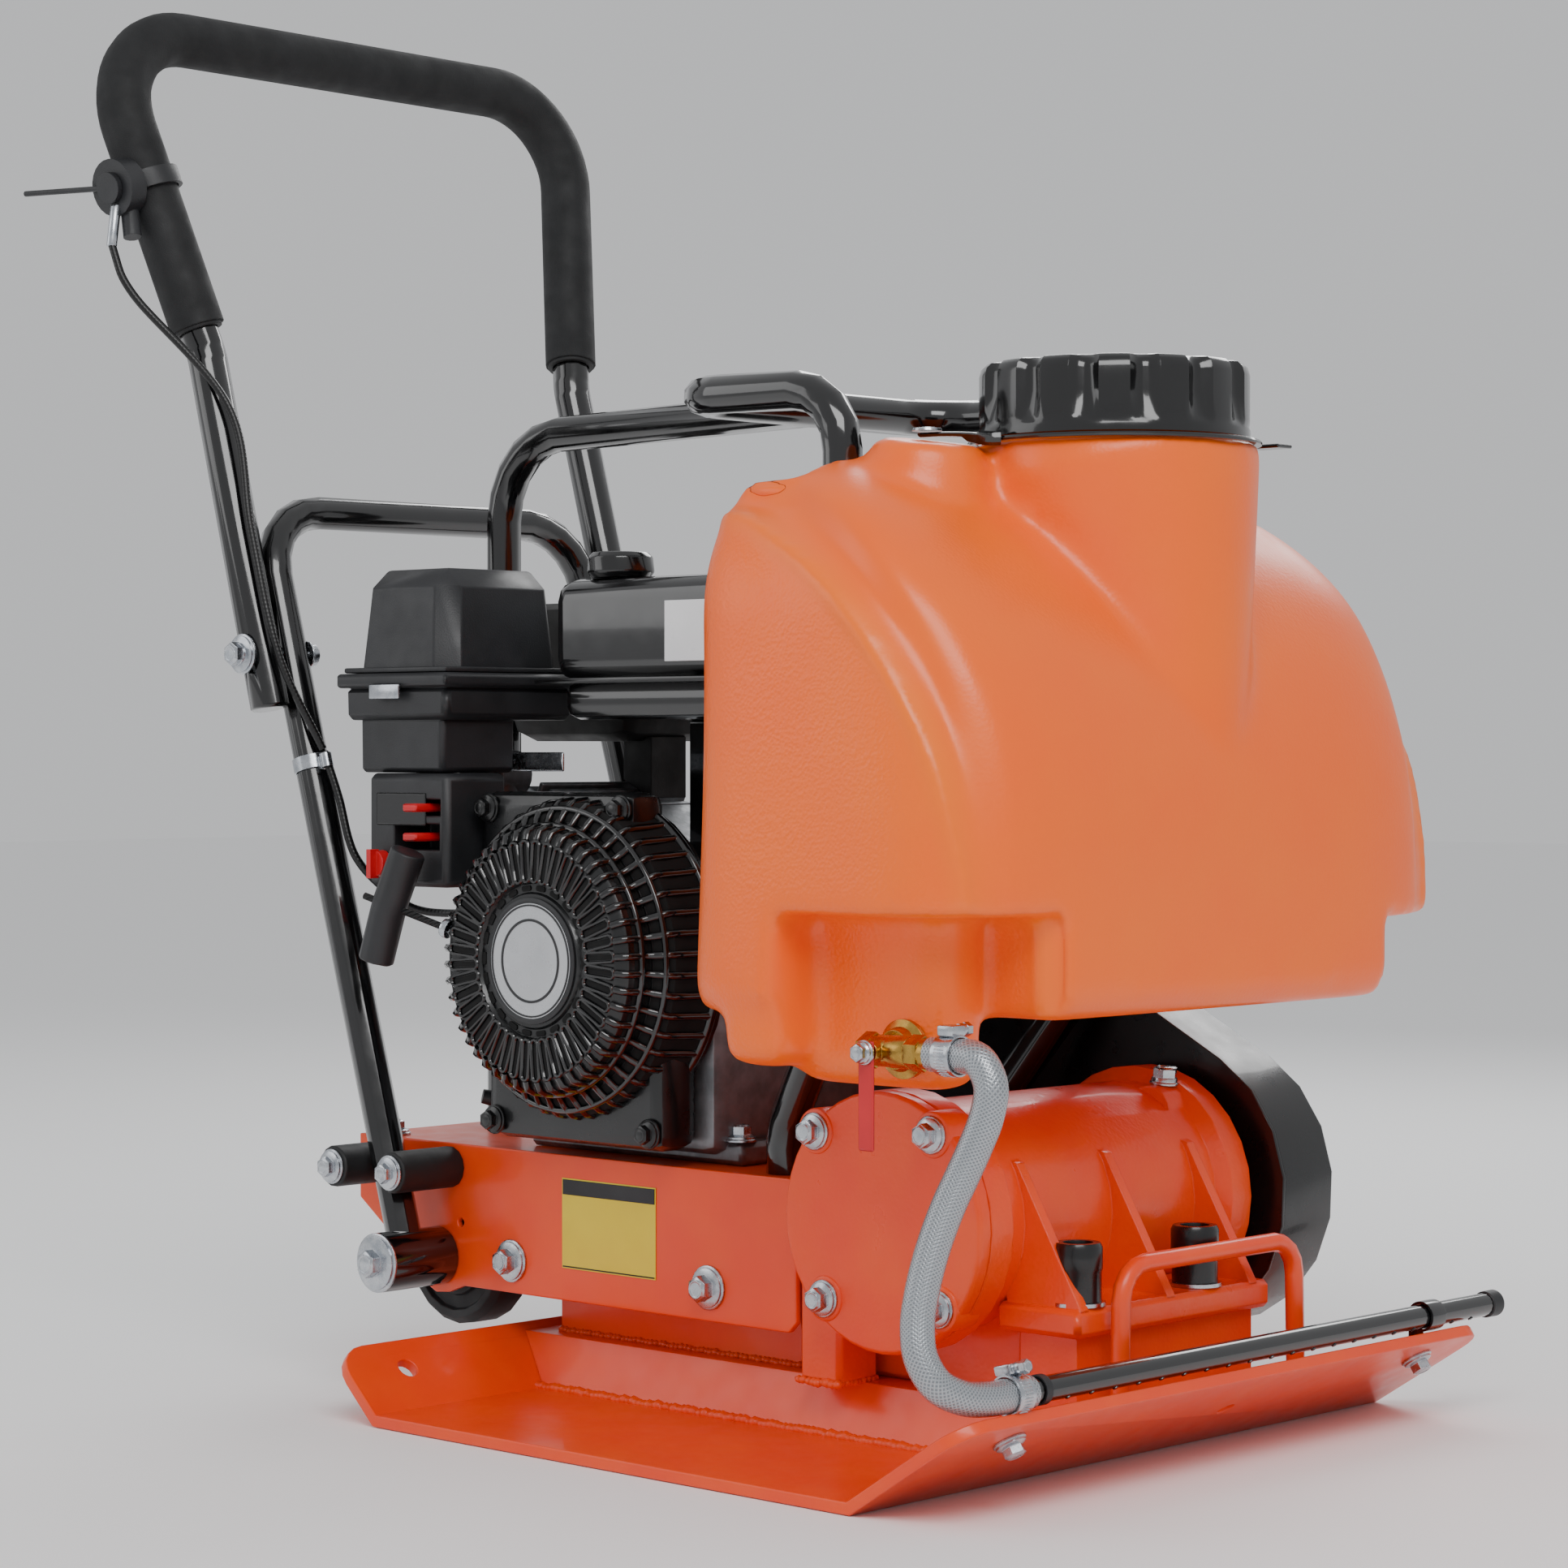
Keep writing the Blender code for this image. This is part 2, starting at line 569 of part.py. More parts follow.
def make_exciter_cover(looks):
    """The round end cover on the starter side."""
    outer = -EXCITER_HALF - GAP - COVER_THICK
    inner = -EXCITER_HALF - GAP
    radius = EXCITER_RADIUS + 0.0075
    cover = to_object("exciter_cover", turned(
        [(0.0, inner), (radius, inner), (radius, outer + 0.002), (radius - 0.002, outer), (0.0, outer)],
        (EXCITER_X, EXCITER_Z), 40), looks["orange_paint"])
    return cover


def pulley_profile(bore, rim, low, high):
    """A pulley's section with its belt groove, from one side face to the other."""
    groove = rim - BELT_DEPTH - 0.001
    half_belt = BELT_WIDTH / 2 + 0.0006
    return [(bore, low), (rim, low), (rim, BELT_Y - half_belt - 0.0008),
            (groove, BELT_Y - half_belt + 0.001), (groove, BELT_Y + half_belt - 0.001),
            (rim, BELT_Y + half_belt + 0.0008), (rim, high), (bore, high)]


def make_exciter_inside(looks):
    """The unbalanced shaft, its two bearings and its pulley."""
    place = (EXCITER_X, EXCITER_Z)
    far = EXCITER_HALF
    left_seat = (far - 0.010 - BEARING_WIDTH - GAP, far - 0.010 - GAP)
    right_seat = (-far + 0.0015, -far + 0.0015 + BEARING_WIDTH)
    for name, (low, high) in (("exciter_bearing_left", left_seat), ("exciter_bearing_right", right_seat)):
        inner, outer = SHAFT_RADIUS + GAP, BEARING_RADIUS - GAP
        profile = [(inner, low), (outer, low), (outer, high), (inner, high)]
        to_object(name, turned(profile, place, 24, closed=True), looks["steel"])
    shaft_end = BELT_Y + 0.020
    body = right_seat[1] + 0.002
    tail = left_seat[0] - 0.002
    core = SHAFT_RADIUS + 0.004
    pivot = (EXCITER_X, 0.0, EXCITER_Z)
    shaft = to_object("eccentric_shaft", turned(
        [(0.0, right_seat[0]), (SHAFT_RADIUS, right_seat[0]), (SHAFT_RADIUS, body), (core, body),
         (core, tail), (SHAFT_RADIUS, tail), (SHAFT_RADIUS, far + 0.006), (0.0120, far + 0.006),
         (0.0120, shaft_end), (0.0, shaft_end)], place, 24), looks["steel"], None, pivot)
    angles = [math.radians(180 + 18 * step) for step in range(11)]
    reach = 0.0470
    half_disc = [(EXCITER_X + reach * math.cos(a), EXCITER_Z + reach * math.sin(a)) for a in angles]
    for middle in (-0.038, 0.038):
        join(shaft, prism(half_disc, middle - 0.017, middle + 0.017))
    profile = pulley_profile(0.0122, EXCITER_PULLEY_RADIUS, BELT_Y - 0.011, BELT_Y + 0.011)
    to_object("exciter_pulley", turned(profile, place, 24, closed=True), looks["cast_aluminium"],
              None, (EXCITER_X, BELT_Y, EXCITER_Z))


def make_lifting_loop(looks):
    """The bent rod in front of the exciter that the bare base is lifted by."""
    radius, x = 0.0055, 0.2080
    foot = lip_top(x + radius) + GAP
    path = bent([(x, -0.060, foot), (x, -0.058, 0.1160), (x, 0.102, 0.1160), (x, 0.104, foot)], 0.020, 4)
    curve_object("lifting_loop", path, radius, looks["orange_paint"], 2)


# ---------------------------------------------------------------- water
def make_pipe(looks):
    x, z = PIPE
    to_object("sprinkler_pipe", rod((x, PIPE_ENDS[0], z), (x, PIPE_ENDS[1], z), PIPE_RADIUS, 16),
              looks["black_paint"])


def hose_route():
    """The hose's points: level out of the valve, down past the exciter, into the pipe's end."""
    return [(VALVE[0] + 0.0335, VALVE[1], VALVE[2]), (0.2180, -0.2090, 0.2410), (0.2345, -0.2100, 0.2395),
            (0.2430, -0.2105, 0.2275), (0.2415, -0.2130, 0.2090), (0.2330, -0.2190, 0.1840),
            (0.2260, -0.2280, 0.1590), (0.2220, -0.2370, 0.1310), (0.2215, -0.2430, 0.1050),
            (0.2260, -0.2440, 0.0860), (0.2330, -0.2370, 0.0730), (0.2390, -0.2210, 0.0665),
            (PIPE[0], -0.2000, PIPE[1]), (PIPE[0], PIPE_ENDS[0] - GAP, PIPE[1])]


def make_hose(looks):
    curve_object("water_hose", smooth_path(hose_route(), 18), HOSE_RADIUS, looks["clear_hose"], 3)


def make_valve(looks):
    x, y, z = VALVE
    wall = POD[0][1]
    valve = to_object("valve_body", rod((x - 0.012, y, z), (x + 0.0330, y, z), 0.0085, 12), looks["brass"])
    join(valve, rod((x, y, z), (x, wall - GAP, z), 0.0075, 16),
         rod((x, y - 0.0125, z), (x, y, z), 0.0060, 12))
    front = y - 0.0125 - GAP
    blade = box((x - 0.0055, front - 0.0022, z - 0.052), (x + 0.0055, front, z + 0.006), 0.001, 1)
    lever = to_object("valve_lever", blade, looks["red_plastic"], None, (x, front, z))
    return valve, lever


def tank_surface(u, v, w):
    """A point of the moulded body for a point of the cube from -1 to 1 each way."""
    largest = max(abs(u), abs(v))
    if largest > 1e-9:
        power = 5.0
        spread = ((abs(u) / largest) ** power + (abs(v) / largest) ** power) ** (-1 / power)
        u, v = u * spread, v * spread
    rise = math.sin((w + 1) * math.pi / 4)
    z = TANK_BOTTOM + (TANK_TOP - TANK_BOTTOM) * rise
    shoulder = max(0.0, (z - 0.470) / (TANK_TOP - 0.470))
    nose = max(0.0, (z - 0.345) / (TANK_TOP - 0.345))
    taper = 0.05 * (z - TANK_BOTTOM)
    half = TANK_HALF - taper - TANK_SHOULDER * (1 - math.sqrt(max(0.0, 1 - shoulder ** 2)))
    front = TANK_FRONT - TANK_NOSE * (1 - math.sqrt(max(0.0, 1 - nose ** 2)))
    foot = 0.008 * max(0.0, 1 - (z - TANK_BOTTOM) / 0.012)
    half, front = half - foot, front - foot
    return Vector((TANK_REAR + (front - TANK_REAR) * (u + 1) / 2, half * v, z))


def make_tank(looks):
    """The blow-moulded water tank with its neck, pod, and the grooves for the guard frame."""
    bm = bmesh.new()
    bmesh.ops.create_cube(bm, size=2.0)
    bmesh.ops.subdivide_edges(bm, edges=bm.edges[:], cuts=8, use_grid_fill=True)
    for vert in bm.verts:
        vert.co = tank_surface(*vert.co)
    tank = to_object("water_tank", to_mesh(bm), looks["orange_tank"])
    column = rod((NECK_X + 0.004, 0.0, 0.330), (NECK_X, 0.0, 0.555), 0.080, 24, 0.086)
    neck = rod((NECK_X, 0.0, 0.530), (NECK_X, 0.0, NECK_TOP), NECK_RADIUS, 24)
    lump = rod((0.100, -0.105, 0.500), (0.112, -0.108, 0.570), 0.050, 16, 0.028)
    join(tank, column, neck, lump)
    cut(tank, box((0.104, -0.300, 0.200), (0.300, -0.150, 0.312), 0.006, 1),
        box((-0.050, GUARD_Y - 0.004, 0.200), (0.110, 0.300, 0.302), 0.006, 1),
        box((0.090, 0.150, 0.200), (0.300, 0.300, 0.302), 0.006, 1))
    join(tank, box(*POD, 0.010, 2), box((0.060, -0.226, 0.228), (0.1060, -0.150, 0.300), 0.010, 2))
    depth, half = RECESS
    cut(tank, box((-0.050, -half, 0.200), (depth, half, 0.700)))
    bore = NECK_RADIUS - 0.010
    cut(tank, rod((NECK_X, 0.0, 0.300), (NECK_X, 0.0, NECK_TOP + 0.01), bore, 20))
    return tank


def make_tank_cap(looks):
    """The screw cap: a lobed ring with a flat top over the neck."""
    base = NECK_TOP + GAP
    place = (NECK_X, 0.0, base)
    profile = [(0.0, CAP_HEIGHT - 0.006), (0.050, CAP_HEIGHT - 0.004), (CAP_RADIUS - 0.006, CAP_HEIGHT),
               (CAP_RADIUS, CAP_HEIGHT - 0.006), (CAP_RADIUS - 0.001, 0.010), (CAP_RADIUS, 0.006),
               (CAP_RADIUS, 0.0), (0.0, 0.0)]
    cap = to_object("tank_cap", turned_up(profile, place, 28), looks["black_plastic"], None, place)
    flutes = [rod((NECK_X + a, b, base + 0.013), (NECK_X + a, b, base + CAP_HEIGHT + 0.01), 0.0060, 8)
              for a, b in ring_of(14, CAP_RADIUS + 0.0035)]
    return cut(cap, *flutes)


# ---------------------------------------------------------------- guard frame
def make_guard_frame(looks):
    """The front hoop round which the tank sits, and the spine from it to the deck's rear."""
    half, top, tube_radius = FRAME_HALF, FRAME_TOP, FRAME_TUBE
    foot = DECK_TOP + GAP
    right = [(-0.012, -0.094, foot), (-0.012, -0.094, 0.180), (FRAME_LEG_X, -half, 0.270),
             (FRAME_LEG_X, -half, top - 0.004), (FRAME_CROSS_X, -half, top)]
    left = [(x, -y, z) for x, y, z in reversed(right)]
    path = bent(right + left, 0.036, 4)
    frame = to_object("guard_frame", tube(path, tube_radius), looks["black_paint"])
    end = FRAME_CROSS_X
    spine = [(SPINE_X, 0.0, foot), (SPINE_X, 0.0, top - 0.004), (end, 0.0, top)]
    return join(frame, tube(bent(spine, 0.055, 5), tube_radius))


# ---------------------------------------------------------------- engine
CYLINDER_LEAN = math.radians(25)        # of the bore above level, towards the rear
HEAD_FIN = 0.0460                       # from the bore's line to the edge of the head's fins


def along_bore(distance, across=0.0):
    """x and z of a point on the cylinder's line, and across it upwards."""
    c, s = math.cos(CYLINDER_LEAN), math.sin(CYLINDER_LEAN)
    return (CRANK_X - c * distance + s * across, CRANK_Z + s * distance + c * across)


def bore_block(near, far, half_across, half_y, middle_y=0.0):
    """A block square to the cylinder's line."""
    outline = [along_bore(near, -half_across), along_bore(far, -half_across),
               along_bore(far, half_across), along_bore(near, half_across)]
    return prism(outline, middle_y - half_y, middle_y + half_y)


def make_crankcase(looks):
    foot = DECK_TOP + GAP
    low, high = BLOCK_FACE, 0.078
    case = to_object("crankcase", box((-0.222, low, foot + 0.006), (-0.062, high, 0.325), 0.012, 2),
                     looks["cast_aluminium"])
    join(case, box((-0.236, low + 0.014, foot), (-0.052, high - 0.010, foot + 0.014), 0.003, 1),
         bore_block(0.060, 0.1130, 0.046, 0.056),
         rod((CRANK_X, high - 0.01, CRANK_Z), (CRANK_X, high + 0.010, CRANK_Z), 0.034, 24))
    bore = CRANK_RADIUS + 0.0007
    cut(case, rod((CRANK_X, -0.2, CRANK_Z), (CRANK_X, 0.2, CRANK_Z), bore, 20))
    return case


def make_cylinder_head(looks):
    """The finned head with its rocker cover."""
    head = to_object("cylinder_head", bore_block(0.1133, 0.1540, 0.034, 0.042), looks["cast_aluminium"])
    for number in range(4):
        start = 0.1150 + 0.0100 * number
        join(head, bore_block(start, start + 0.0040, HEAD_FIN, 0.055))
    join(head, bore_block(0.1535, 0.1760, 0.030, 0.036))
    return head


def make_crank(looks):
    """The crankshaft, the flywheel with its fan, and the clutch drum with the belt groove."""
    place = (CRANK_X, CRANK_Z)
    pivot = (CRANK_X, 0.0, CRANK_Z)
    end = BELT_Y + 0.018
    profile = [(0.0, -0.132), (0.0080, -0.132), (0.0080, -0.128), (CRANK_RADIUS, -0.126),
               (CRANK_RADIUS, 0.100), (0.0095, 0.102), (0.0095, end), (0.0, end)]
    to_object("crankshaft", turned(profile, place, 20), looks["steel"], None, pivot)
    wheel_low, wheel_high = -0.124, -0.106
    inner = CRANK_RADIUS + GAP
    profile = [(inner, wheel_low), (FLYWHEEL_RADIUS, wheel_low), (FLYWHEEL_RADIUS, wheel_high),
               (inner, wheel_high)]
    flywheel = to_object("flywheel", turned(profile, place, 28, closed=True), looks["cast_aluminium"],
                         None, pivot)
    for a, b in ring_of(12, 0.058):
        side = Vector((-b, a)).normalized() * 0.0015
        radial = Vector((a, b)).normalized()
        corner = Vector((CRANK_X + a, CRANK_Z + b))
        fin = [corner - radial * 0.012 - side, corner + radial * 0.014 - side,
               corner + radial * 0.014 + side, corner - radial * 0.012 + side]
        join(flywheel, prism([tuple(point) for point in fin], wheel_low - 0.011, wheel_low + 0.001))
    profile = pulley_profile(0.0098, CLUTCH_RADIUS, BELT_Y - 0.022, BELT_Y + 0.012)
    to_object("clutch_drum", turned(profile, place, 28, closed=True), looks["steel"],
              None, (CRANK_X, BELT_Y, CRANK_Z))


def belt_path(extra):
    """The closed outline of a band round both pulleys, at extra outside their belt seats."""
    seat_big = CLUTCH_RADIUS - BELT_DEPTH + extra
    seat_small = EXCITER_PULLEY_RADIUS - BELT_DEPTH + extra
    big, small = Vector((CRANK_X, CRANK_Z)), Vector((EXCITER_X, EXCITER_Z))
    line = small - big
    heading = math.atan2(line.y, line.x)
    lean = math.acos((seat_big - seat_small) / line.length)
    points = []
    for step in range(13):
        angle = heading - lean + (2 * lean) * step / 12
        points.append(small + Vector((math.cos(angle), math.sin(angle))) * seat_small)
    for step in range(15):
        angle = heading + lean + (math.tau - 2 * lean) * step / 14
        points.append(big + Vector((math.cos(angle), math.sin(angle))) * seat_big)
    return [tuple(point) for point in points]


def make_belt(looks):
    low, high = BELT_Y - BELT_WIDTH / 2 + 0.0008, BELT_Y + BELT_WIDTH / 2 - 0.0008
    belt = to_object("v_belt", prism(belt_path(BELT_DEPTH - 0.0005), low, high), looks["rubber"])
    return cut(belt, prism(belt_path(0.0003), low - 0.01, high + 0.01))


def guard_outline(inset):
    """The belt guard's outline: a round end at each pulley, joined by straight sides."""
    big, small = Vector((CRANK_X, CRANK_Z)), Vector((EXCITER_X, EXCITER_Z))
    reach_big, reach_small = GUARD_REACH[0] - inset, GUARD_REACH[1] - inset
    line = small - big
    heading = math.atan2(line.y, line.x)
    lean = math.acos((reach_big - reach_small) / line.length)
    points = []
    for step in range(11):
        angle = heading - lean + 2 * lean * step / 10
        points.append(small + Vector((math.cos(angle), math.sin(angle))) * reach_small)
    for step in range(11):
        angle = heading + lean + (math.tau - 2 * lean) * step / 10
        points.append(big + Vector((math.cos(angle), math.sin(angle))) * reach_big)
    return [tuple(point) for point in points]


def make_belt_guard(looks):
    """The painted back plate and the black cover that closes over belt and pulleys."""
    low, high = GUARD_Y, GUARD_Y + GUARD_THICK
    plate = to_object("belt_guard_plate", prism(guard_outline(0.0), low, high), looks["orange_paint"])
    cut(plate, rod((EXCITER_X, low - 0.01, EXCITER_Z), (EXCITER_X, high + 0.01, EXCITER_Z), 0.024, 20),
        rod((CRANK_X, low - 0.01, CRANK_Z), (CRANK_X, high + 0.01, CRANK_Z), 0.030, 20))
    start = high + GAP
    cover = to_object("belt_cover", prism(guard_outline(0.0015), start, start + GUARD_DEPTH),
                      looks["black_plastic"])
    wall = 0.0030
    cut(cover, prism(guard_outline(0.0015 + wall), start - 0.01, start + GUARD_DEPTH - wall))
    return plate, cover


def make_fan_housing(looks):
    """The blower housing over the flywheel, with its shroud towards the cylinder."""
    place = (CRANK_X, CRANK_Z)
    inner_back = BLOCK_FACE - GAP
    profile = [(0.0, FAN_FACE), (FAN_RADIUS - 0.008, FAN_FACE), (FAN_RADIUS - 0.002, FAN_FACE + 0.004),
               (FAN_RADIUS, FAN_FACE + 0.012), (FAN_RADIUS + 0.004, inner_back), (0.0, inner_back)]
    housing = to_object("fan_housing", turned(profile, place, 32), looks["black_paint"])
    join(housing, box((-0.236, FAN_FACE + 0.016, 0.292), (-0.100, inner_back, 0.374), 0.008, 2),
         box((-0.226, FAN_FACE + 0.012, DECK_TOP + 0.010), (-0.072, inner_back, 0.235), 0.010, 2))
    room = FLYWHEEL_RADIUS + 0.006
    cut(housing, turned([(0.0, FAN_FACE + 0.003), (room, FAN_FACE + 0.003),
                         (room + 0.002, inner_back + 0.01), (0.0, inner_back + 0.01)], place, 32))
    cut(housing, turned([(0.0, FAN_FACE - 0.01), (0.058, FAN_FACE - 0.01),
                         (0.058, FAN_FACE + 0.01), (0.0, FAN_FACE + 0.01)], place, 24))
    return housing


ROPE_EXIT = (-0.2290, -0.1640, 0.2910)
ROPE_DIRECTION = Vector((-0.90, -0.27, 0.30)).normalized()


def make_recoil(looks):
    """The starter cover, its T handle and the rope between them."""
    place = (CRANK_X, CRANK_Z)
    back = FAN_FACE - GAP
    face = RECOIL_FACE
    profile = [(0.0, face), (0.036, face), (0.040, face + 0.002), (RECOIL_RADIUS - 0.006, face + 0.003),
               (RECOIL_RADIUS, face + 0.009), (RECOIL_RADIUS, back), (RECOIL_RADIUS - 0.004, back),
               (RECOIL_RADIUS - 0.005, face + 0.011), (0.034, face + 0.007), (0.034, back - 0.004),
               (0.0, back - 0.004)]
    cover = to_object("recoil_cover", turned(profile, place, 36), looks["black_paint"])
    slots = []
    for a, b in ring_of(16, 0.0570, 0.07):
        radial = Vector((a, b)).normalized()
        side = Vector((-radial.y, radial.x)) * 0.0023
        middle = Vector((CRANK_X + a, CRANK_Z + b))
        ends = (middle - radial * 0.011, middle + radial * 0.011)
        corners = [ends[0] - side, ends[1] - side, ends[1] + side, ends[0] + side]
        slots.append(prism([tuple(point) for point in corners], face - 0.01, face + 0.012))
    cut(cover, *slots)
    exit_point = Vector(ROPE_EXIT)
    join(cover, rod(exit_point - ROPE_DIRECTION * 0.012, exit_point, 0.0075, 12))
    rope_end = exit_point + ROPE_DIRECTION * 0.030
    rope_start = exit_point + ROPE_DIRECTION * GAP
    curve_object("starter_rope", [rope_start, exit_point + ROPE_DIRECTION * 0.015, rope_end],
                 0.0022, looks["black_foam"], 2)
    grip = rope_end + ROPE_DIRECTION * (0.0110 + GAP)
    axis = Vector((-0.33, -0.08, -0.94)).normalized()
    top, bottom = grip - axis * 0.036, grip + axis * 0.036
    line = bent([top, top.lerp(bottom, 0.5) + ROPE_DIRECTION * 0.002, bottom], 0.09, 4)
    handle = to_object("starter_handle", tube(line, 0.0110, 4), looks["black_plastic"], None, tuple(grip))
    return handle


def make_fuel_tank(looks):
    (x0, y0, z0), (x1, y1, z1) = FUEL_TANK
    seam = z0 + 0.024
    upper = box((x0 + 0.006, y0 + 0.006, seam - 0.001), (x1 - 0.006, y1 - 0.006, z1), 0.014, 3)
    tank = to_object("fuel_tank", upper, looks["black_paint"])
    join(tank, box((x0, y0, seam - 0.002), (x1, y1, seam + 0.001)),
         box((x0 + 0.012, y0 + 0.012, z0), (x1 - 0.012, y1 - 0.012, seam), 0.008, 2))
    cap_place = (x0 + 0.041, y0 + 0.034, z1 + GAP)
    profile = [(0.0, 0.016), (0.017, 0.016), (0.020, 0.013), (0.021, 0.004), (0.018, 0.0), (0.0, 0.0)]
    cap = to_object("fuel_cap", turned_up(profile, cap_place, 20), looks["black_plastic"], None, cap_place)
    stay_top = z0
    join(tank, box((-0.1680, -0.020, 0.3255), (-0.0760, 0.050, stay_top + 0.002), 0.004, 1))
    return tank, cap


def make_air_cleaner(looks):
    """The cleaner's cover and its base, whose elbow leads down to the carburettor."""
    (x0, y0, z0), (x1, y1, z1) = AIR_BOX
    seam = AIR_SEAM
    inset = 0.007
    bm = bmesh.new()
    bmesh.ops.create_cube(bm, size=1.0)
    for vert in bm.verts:
        up = vert.co.z > 0
        shrink = 0.005 if up else 0.0
        x = (x1 - inset - shrink) if vert.co.x > 0 else (x0 + inset + shrink)
        y = (y1 - inset - shrink) if vert.co.y > 0 else (y0 + inset + shrink)
        vert.co = (x, y, z1 if up else seam + GAP)
    top_edges = [edge for edge in bm.edges if min(vert.co.z for vert in edge.verts) > z1 - 1e-6]
    side_edges = [edge for edge in bm.edges if abs(edge.verts[0].co.z - edge.verts[1].co.z) > 0.01]
    bmesh.ops.bevel(bm, geom=top_edges + side_edges, offset=0.012, segments=1,
                    affect="EDGES", profile=0.5, material=-1)
    to_object("air_cleaner_cover", to_mesh(bm), looks["black_plastic"])
    base = to_object("air_cleaner_base", box((x0, y0, seam - 0.009), (x1, y1, seam), 0.002, 1),
                     looks["black_plastic"])
    join(base, box((x0 + 0.004, y0 + 0.004, z0), (x1 - 0.004, y1 - 0.004, seam - 0.008), 0.004, 1),
         box((x0 + 0.014, y0 + 0.008, PANEL[1][2] + GAP), (x1 - 0.012, -0.0900, z0 + 0.002), 0.003, 1))
    return base


def make_carburettor(looks):
    x, z = -0.284, 0.3840
    start, end = -0.0895, -0.0562
    carb = to_object("carburettor", rod((x, start, z), (x, end, z), 0.0150, 20), looks["cast_aluminium"])
    join(carb, rod((x, -0.073, z - 0.038), (x, -0.073, z), 0.0135, 18),
         box((x - 0.020, start + 0.001, z - 0.014), (x + 0.020, start + 0.006, z + 0.014), 0.002, 1))
    return carb


def make_controls(looks):
    """The control panel with its choke and fuel levers, and the engine switch on the housing."""
    (x0, y0, z0), (x1, y1, z1) = PANEL
    panel = to_object("control_panel", box(PANEL[0], PANEL[1], 0.004, 1), looks["black_plastic"])
    window_x = (x0 + 0.016, x1 - 0.006)
    depth = y0 + 0.030
    slots = ((0.3590, 0.3690), (0.3380, 0.3540))
    for low, high in slots:
        cut(panel, box((window_x[0] + 0.010, y0 - 0.01, low), (window_x[1], depth, high)))
    for name, (low, high) in zip(("choke_lever", "fuel_valve_lever"), slots):
        middle = (low + high) / 2
        to_object(name, box((window_x[1] - 0.024, y0 - 0.010, middle - 0.0026),
                            (window_x[1] - 0.010, depth - 0.004, middle + 0.0026), 0.0012, 1),
                  looks["red_plastic"])
    switch_x, switch_z = x0 + 0.016, z0 + 0.014
    start = y0 - GAP
    profile = [(0.0, start), (0.0085, start), (0.0080, start - 0.007), (0.0, start - 0.007)]
    knob = to_object("engine_switch", turned(profile, (switch_x, switch_z), 16), looks["red_plastic"],
                     None, (switch_x, start, switch_z))
    join(knob, box((switch_x - 0.002, start - 0.012, switch_z - 0.009),
                   (switch_x + 0.002, start - 0.005, switch_z + 0.009)))
    return panel


def make_throttle_arm(looks):
    """The governor's arm on the block, which the cable pulls."""
    pivot = GOVERNOR
    arm = to_object("throttle_arm", box((pivot[0] - 0.040, pivot[1] - 0.0015, pivot[2] - 0.006),
                                        (pivot[0] + 0.010, pivot[1] + 0.0015, pivot[2] + 0.006), 0.001, 1),
                    looks["zinc"], None, pivot)
    return arm


def make_muffler(looks):
    """The box muffler, whose flanged port stands on the cylinder head."""
    muffler = to_object("muffler", box(*MUFFLER, 0.016, 2), looks["black_paint"])
    near = along_bore(0.1220, HEAD_FIN + GAP)
    far = along_bore(0.1500, HEAD_FIN + GAP)
    top = MUFFLER[0][2] + 0.003
    return join(muffler, prism([near, (near[0], top), (far[0], top), far], 0.020, 0.052))


# ---------------------------------------------------------------- handle
def leg_at(height):
    """x of a lower leg's line at a height."""
    lean = (FOLD[0] - AXLE_X) / (FOLD[1] - AXLE_Z)
    return AXLE_X + lean * (height - AXLE_Z)


def make_lower_handle(looks, pivot):
    """The hoop from one pivot boss up and over to the other."""
    right = [(leg_at(AXLE_Z), -LEG_Y, AXLE_Z), (leg_at(HOOP_TOP), -LEG_Y, HOOP_TOP)]
    left = [(x, -y, z) for x, y, z in reversed(right)]
    hoop = to_object("lower_handle", tube(bent(right + left, 0.045, 5), LOWER_TUBE), looks["black_paint"],
                     pivot, pivot.location)
    inner, outer = DECK_HALF + 0.0010, LEG_Y + 0.0250
    for sign, _ in SIDES:
        join(hoop, rod((AXLE_X, sign * inner, AXLE_Z), (AXLE_X, sign * outer, AXLE_Z), 0.0185, 24))
    bore = AXLE_RADIUS + 0.0004
    cut(hoop, rod((AXLE_X, -0.2, AXLE_Z), (AXLE_X, 0.2, AXLE_Z), bore, 16))
    for sign, _ in SIDES:
        cut(hoop, rod((FOLD[0], sign * 0.10, FOLD[1]), (FOLD[0], sign * 0.20, FOLD[1]), 0.0043, 12))
    return hoop


def upper_leg_y():
    return LEG_Y + LOWER_TUBE + UPPER_TUBE + 0.0006


def upper_path():
    """The upper handle's centre line, from the right leg's foot over the top to the left's."""
    y = upper_leg_y()
    slope = (-0.4690 - FOLD[0]) / (GRIP_START - FOLD[1])
    foot_z = FOLD[1] - 0.034
    right = [(FOLD[0] + slope * (foot_z - FOLD[1]), -y, foot_z),
             (FOLD[0] + slope * (0.655 - FOLD[1]), -y, 0.655),
             (HANDLE_TOP[0], -HANDLE_TOP[1], HANDLE_TOP[2])]
    left = [(px, -py, pz) for px, py, pz in reversed(right)]
    return bent(right + left, 0.058, 5)


def make_upper_handle(looks, pivot):
    handle = to_object("upper_handle", tube(upper_path(), UPPER_TUBE), looks["black_paint"],
                       pivot, pivot.location)
    for sign, _ in SIDES:
        cut(handle, rod((FOLD[0], sign * 0.10, FOLD[1]), (FOLD[0], sign * 0.20, FOLD[1]), 0.0043, 12))
    foam = to_object("foam_grip", tube(grip_route(), GRIP_RADIUS), looks["black_foam"],
                     pivot, pivot.location)
    cut(foam, tube(upper_path(), UPPER_TUBE + GAP))
    return handle


